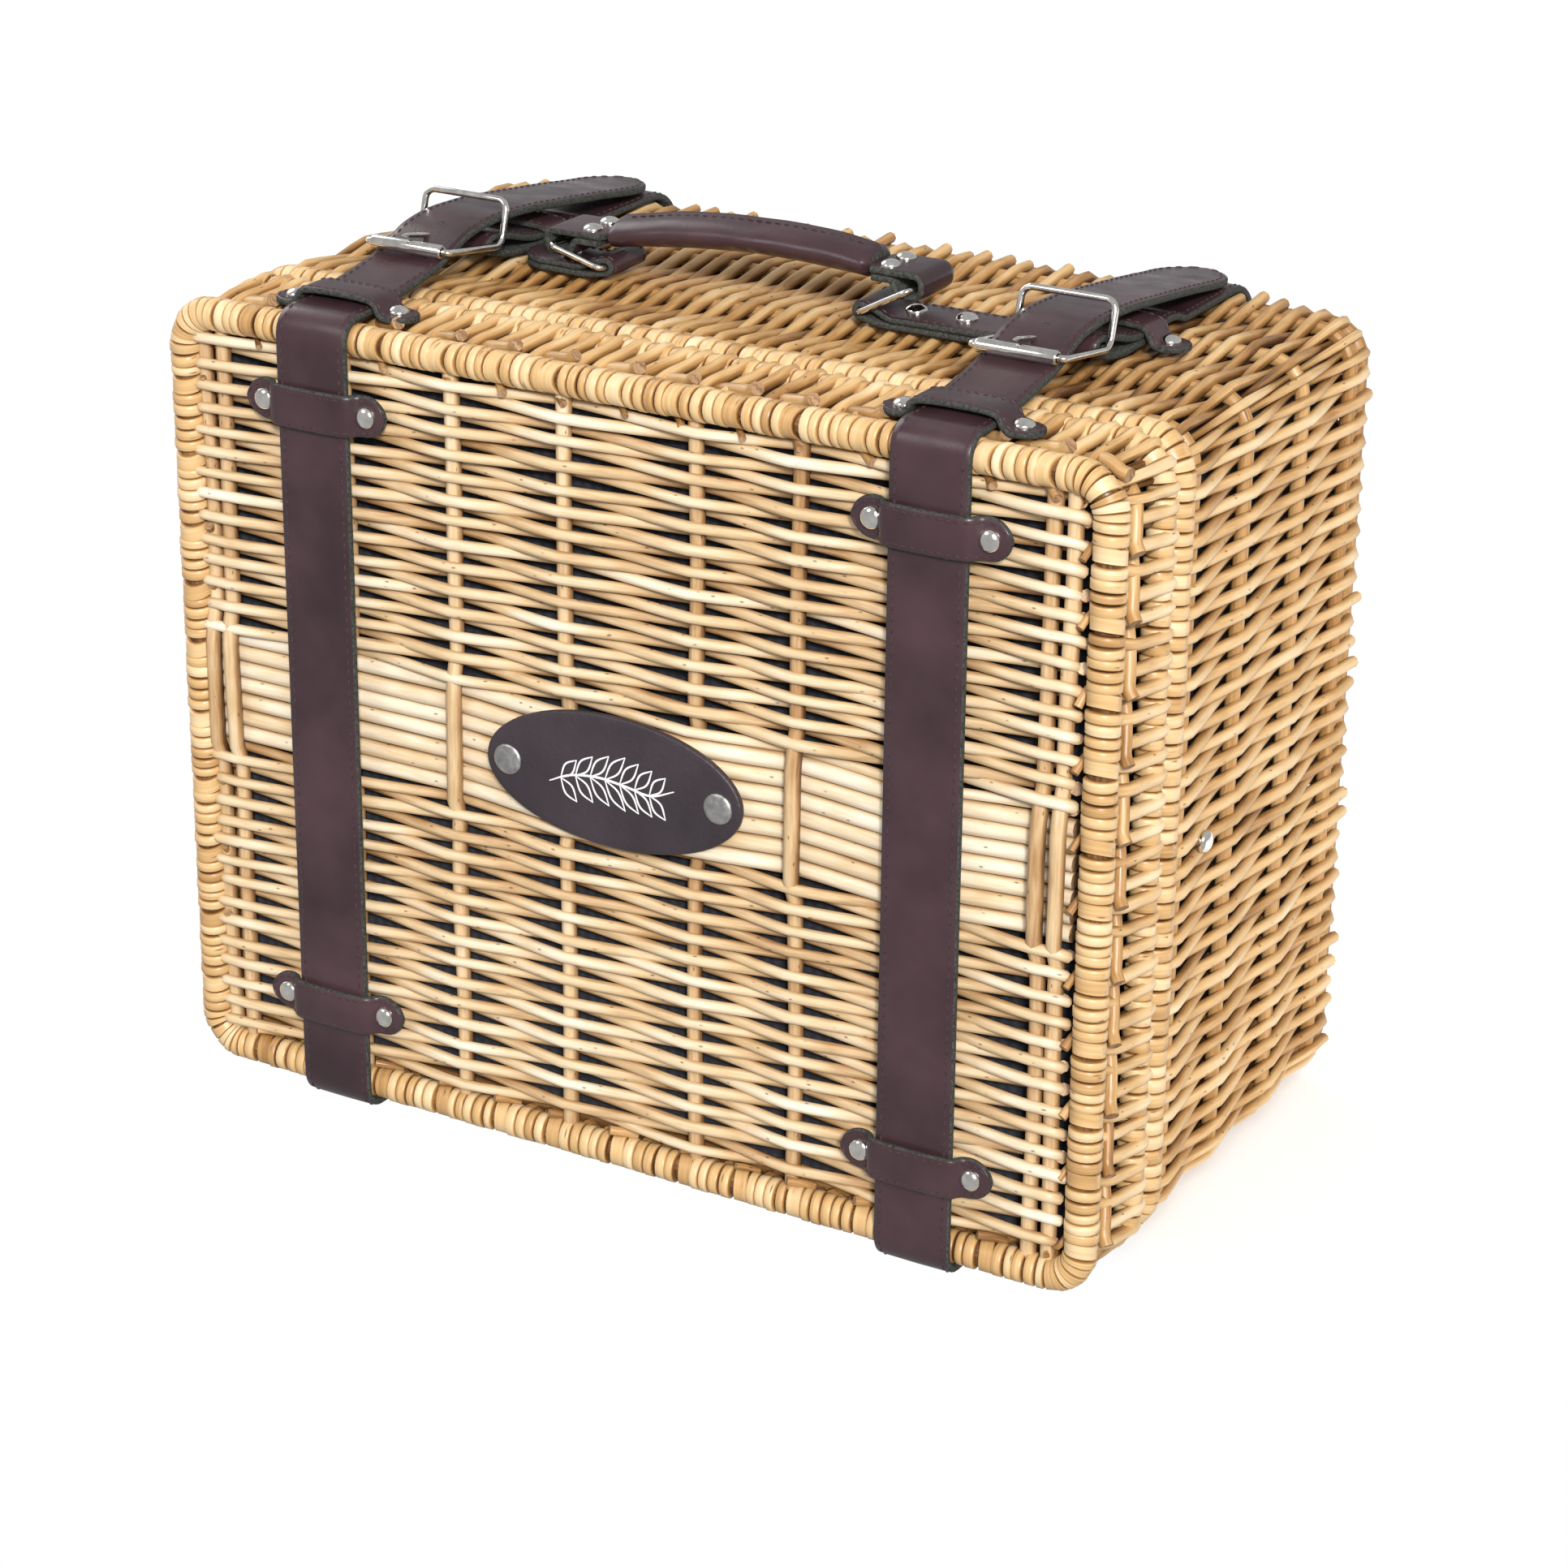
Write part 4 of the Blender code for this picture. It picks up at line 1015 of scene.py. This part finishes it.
def handle_grip():
    """The padded sleeve: an oval tube that swells in the middle, seamed along its far side."""
    bundle = Bundle()
    seam = math.radians(81)
    u = np.linspace(-GRIP_HALF + GAP, GRIP_HALF - GAP, 61)[:, None]
    share = abs(u / GRIP_HALF)
    full = (1 - 0.10 * share ** 4) * (1 - 0.35 * np.maximum(0, (share - 0.965) / 0.035) ** 2)
    dent = 1 + 0.02 * np.sin(u / (9 * MM) + 0.6) + 0.012 * np.sin(u / (3.7 * MM))
    turns = whole_turn(40)
    ridge = 0.8 * MM * np.exp(-((turns - seam) / 0.13) ** 2)
    up = handle_height(u) + (GRIP_TALL * full * (2 - dent) + ridge) * np.sin(turns)
    bundle.add(columns(*handle_place(u, up, (GRIP_WIDE * full * dent + ridge) * np.cos(turns))), cap_kind=1)
    count = 26
    t = seam + 0.26
    rise = np.array((-0.10, 0.15, 0.15, -0.10)) * MM
    for i in range(count):
        middle = (GRIP_HALF - 6 * MM) * (2 * (i + 0.5) / count - 1)
        slim = 1 - 0.10 * abs(middle / GRIP_HALF) ** 4
        u = middle + np.array((-1.4, -0.6, 0.6, 1.4)) * MM
        up = handle_height(u) + (GRIP_TALL * slim + rise) * math.sin(t)
        knots = columns(*handle_place(u, up, (GRIP_WIDE * slim + rise) * math.cos(t)))
        tube(bundle, knots, np.array([0.2, 0.36, 0.36, 0.2]) * MM, (0, 1, 1), kind=2, sides=6, cap_kind=2)
    bundle.piece("padded_grip", LEATHER, "handle", "belt_leather", "handle_grip")


def rings_and_patches():
    for side, way, length in (("left", -1, 41 * MM), ("right", 1, 64 * MM)):
        hub = np.array(handle_place(way * RING_BAR_X, RING_BAR_H, 0))
        along = np.array((way * math.cos(ring_tilt(way)), 0, math.sin(ring_tilt(way))))
        across, reach = np.array((0, 15 * MM, 0)), along * RING_LENGTH
        corners = [hub - across, hub + across, hub + reach + across, hub + reach - across]
        line = rounded(corners, (3.0 * MM,) * 4, 6, loop=True)
        bundle = Bundle()
        tube(bundle, line, 1.2 * MM, np.cross(along, (0, 1, 0)), sides=12, loop=True)
        bundle.piece("ring_wire_" + side, NICKEL, "ring_" + side, "nickel", "handle_ring_" + side)

        bar, far = RING_BAR_X, RING_BAR_X + length
        low, high = 0.5 * MM, 0.5 * MM + KEEPER_THICK + GAP
        bend = 1.2 * MM + GAP + KEEPER_THICK / 2
        fold = arc((bar, RING_BAR_H), bend, np.linspace(270, 90, 15))
        bottom = smooth([(far, low), (bar + 20 * MM, low), (bar + 9 * MM, low), fold[0]], 5)
        top = smooth([fold[-1], (bar + 6 * MM, 5.6 * MM), (bar + 12 * MM, high),
                      (bar + 20 * MM, high), (far, high)], 5)
        route = np.vstack([bottom[:-1], fold, top[1:]])
        path, widths = tapered(route, 12.5 * MM, first=14 * MM, last=14 * MM, step=1.6 * MM)

        def place(u, v, w, way=way):
            return handle_place(way * u, v, -way * w)

        bundle = Bundle()
        band(bundle, path, widths, KEEPER_THICK, place, crown=0.25 * MM)
        stitches(bundle, path, widths, KEEPER_THICK, place, margin=2.2 * MM, pitch=3.6 * MM,
                 start=travelled(bottom)[-1])
        bundle.piece("ring_patch_" + side, LEATHER, "case", "belt_leather", "handle_patch_" + side)


# ---- badge
def badge():
    """An oval leather plate with a plain leafy sprig printed on it."""
    low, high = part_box("badge_plate")
    middle, half = (low + high) / 2, (high - low) / 2
    thick = 2 * half.y / MM
    profile = ((0.2, thick), (0, thick - 0.4), (0, 0.7), (0.25, 0.2), (0.8, 0), (3.0, -0.05), (12, -0.25),
               (25.5, -0.35))
    inset, depth = MM * np.array(profile).T[..., None]
    turns = whole_turn(72)
    plate = Bundle()
    plate.add(columns(middle.x + (half.x - inset) * np.cos(turns), low.y + depth,
                      middle.z + (half.z - inset) * np.sin(turns)))
    plate.piece("badge_oval", BADGE, "lid", "badge_leather", "badge_plate")

    sprig = Bundle()

    def line(points, size):
        x, z = MM * smooth(points, 6).T
        knots = columns(middle.x + x, low.y - 0.42 * MM, middle.z + z)
        shape = size * MM * np.sin(np.linspace(0.25, math.pi - 0.25, len(knots))) ** 0.6
        tube(sprig, knots, shape, (0, 1, 0), sides=6, flat=0.35)

    stem = ((-27, -4.5), (-18, -0.5), (-6, 1.2), (6, 0.2), (17, -1.2), (27, 2.6))
    line(stem, 0.55)
    for k in range(7):
        x = -22 + 6.4 * k
        root = np.array((x, np.interp(x, *np.transpose(stem))))
        for way in (-1, 1):
            tip = root + (12.4 - 0.9 * abs(k - 3)) * np.array((0.72, way * 0.86))
            for bulge in (-1, 1):
                line([root, (root + tip) / 2 + (-1.45 * bulge * way, 1.6 * bulge), tip], 0.42)
    sprig.piece("badge_sprig", INK, "lid", "badge_leather")


# ---- stage
def from_side(azimuth, elevation):
    """The direction that looks back from so many degrees right of the front, and up."""
    a, e = math.radians(azimuth), math.radians(elevation)
    return Vector((math.sin(a) * math.cos(e), -math.cos(a) * math.cos(e), math.sin(e)))


def lamp(name, kind, azimuth, elevation, distance=0.0, **settings):
    light = bpy.data.lights.new(name, kind)
    for key, value in settings.items():
        setattr(light, key, value)
    item = add(name, light)
    aim = from_side(azimuth, elevation)
    item.location = Vector((0, 0, 0.16)) + distance * aim
    item.rotation_euler = aim.to_track_quat("Z", "Y").to_euler()


def floor():
    """A white floor. The lid opens past its level, so it fades out under the lid and stops there."""
    mesh = bpy.data.meshes.new("studio_floor")
    size, edge = 12.0, HINGE_Y - 20 * MM
    corners = [(-size, edge, 0), (size, edge, 0), (size, size, 0), (-size, size, 0)]
    mesh.from_pydata(corners, [], [(0, 1, 2, 3)])
    finish = Finish("studio_white", base_color=(0.93, 0.93, 0.93, 1), roughness=1.0,
                    emission_color=(1, 1, 1, 1), emission_strength=0.04)
    finish.shader.inputs["Specular IOR Level"].default_value = 0.0
    spot = finish.node("SeparateXYZ", {"Vector": finish.node("NewGeometry").outputs["Position"]})
    fade = finish.spread(spot.outputs["Y"], 0.0, 1.0, edge, edge + 60 * MM, interpolation_type="SMOOTHSTEP")
    finish.link(fade, "Alpha")
    mesh.materials.append(finish.material)
    add("studio_floor", mesh)


def surroundings():
    """Soft light from all round, and pure white where the camera looks past everything."""
    world = bpy.data.worlds.new("studio")
    world.use_nodes = True
    tree = world.node_tree
    shown = tree.nodes.new("ShaderNodeLightPath").outputs["Is Camera Ray"]
    mixer = tree.nodes.new("ShaderNodeMixShader")
    surround, backdrop = tree.nodes["Background"], tree.nodes.new("ShaderNodeBackground")
    surround.inputs[0].default_value = (0.97, 0.985, 1, 1)
    surround.inputs[1].default_value = 0.46
    backdrop.inputs[0].default_value = (1, 1, 1, 1)
    for number, source in enumerate((shown, surround.outputs[0], backdrop.outputs[0])):
        tree.links.new(source, mixer.inputs[number])
    tree.links.new(mixer.outputs[0], tree.nodes["World Output"].inputs["Surface"])
    bpy.context.scene.world = world


def lights():
    warm = (1, 0.985, 0.96)
    lamp("key", "SUN", 36, 28, energy=2.95, angle=math.radians(8), color=warm)
    lamp("behind", "SUN", 252, 30, energy=1.0, angle=math.radians(40), color=warm)
    lamp("window", "AREA", 40, 30, 1.6, shape="DISK", size=0.9, energy=12.0)
    lamp("strip", "AREA", -30, 40, 1.5, shape="DISK", size=0.6, energy=3.0)
    bpy.context.scene.view_settings.view_transform = "Standard"


def camera():
    forward = -from_side(CAMERA_AZIMUTH, CAMERA_ELEVATION)
    right = forward.cross(Vector((0, 0, 1))).normalized()
    level = Matrix((right, right.cross(forward), -forward)).transposed()
    turned = level @ Matrix.Rotation(math.radians(CAMERA_ROLL), 3, "Z")
    data = bpy.data.cameras.new("camera")
    data.lens = 93.6
    data.sensor_width = 36.0
    view = add("camera", data)
    view.matrix_world = Matrix.Translation(CAMERA_PLACE) @ turned.to_4x4()
    bpy.context.scene.camera = view


camera()
floor()
surroundings()
lights()
wicker()
linings()
belts()
keepers()
rivets()
buckles()
handle_strap()
handle_grip()
rings_and_patches()
badge()
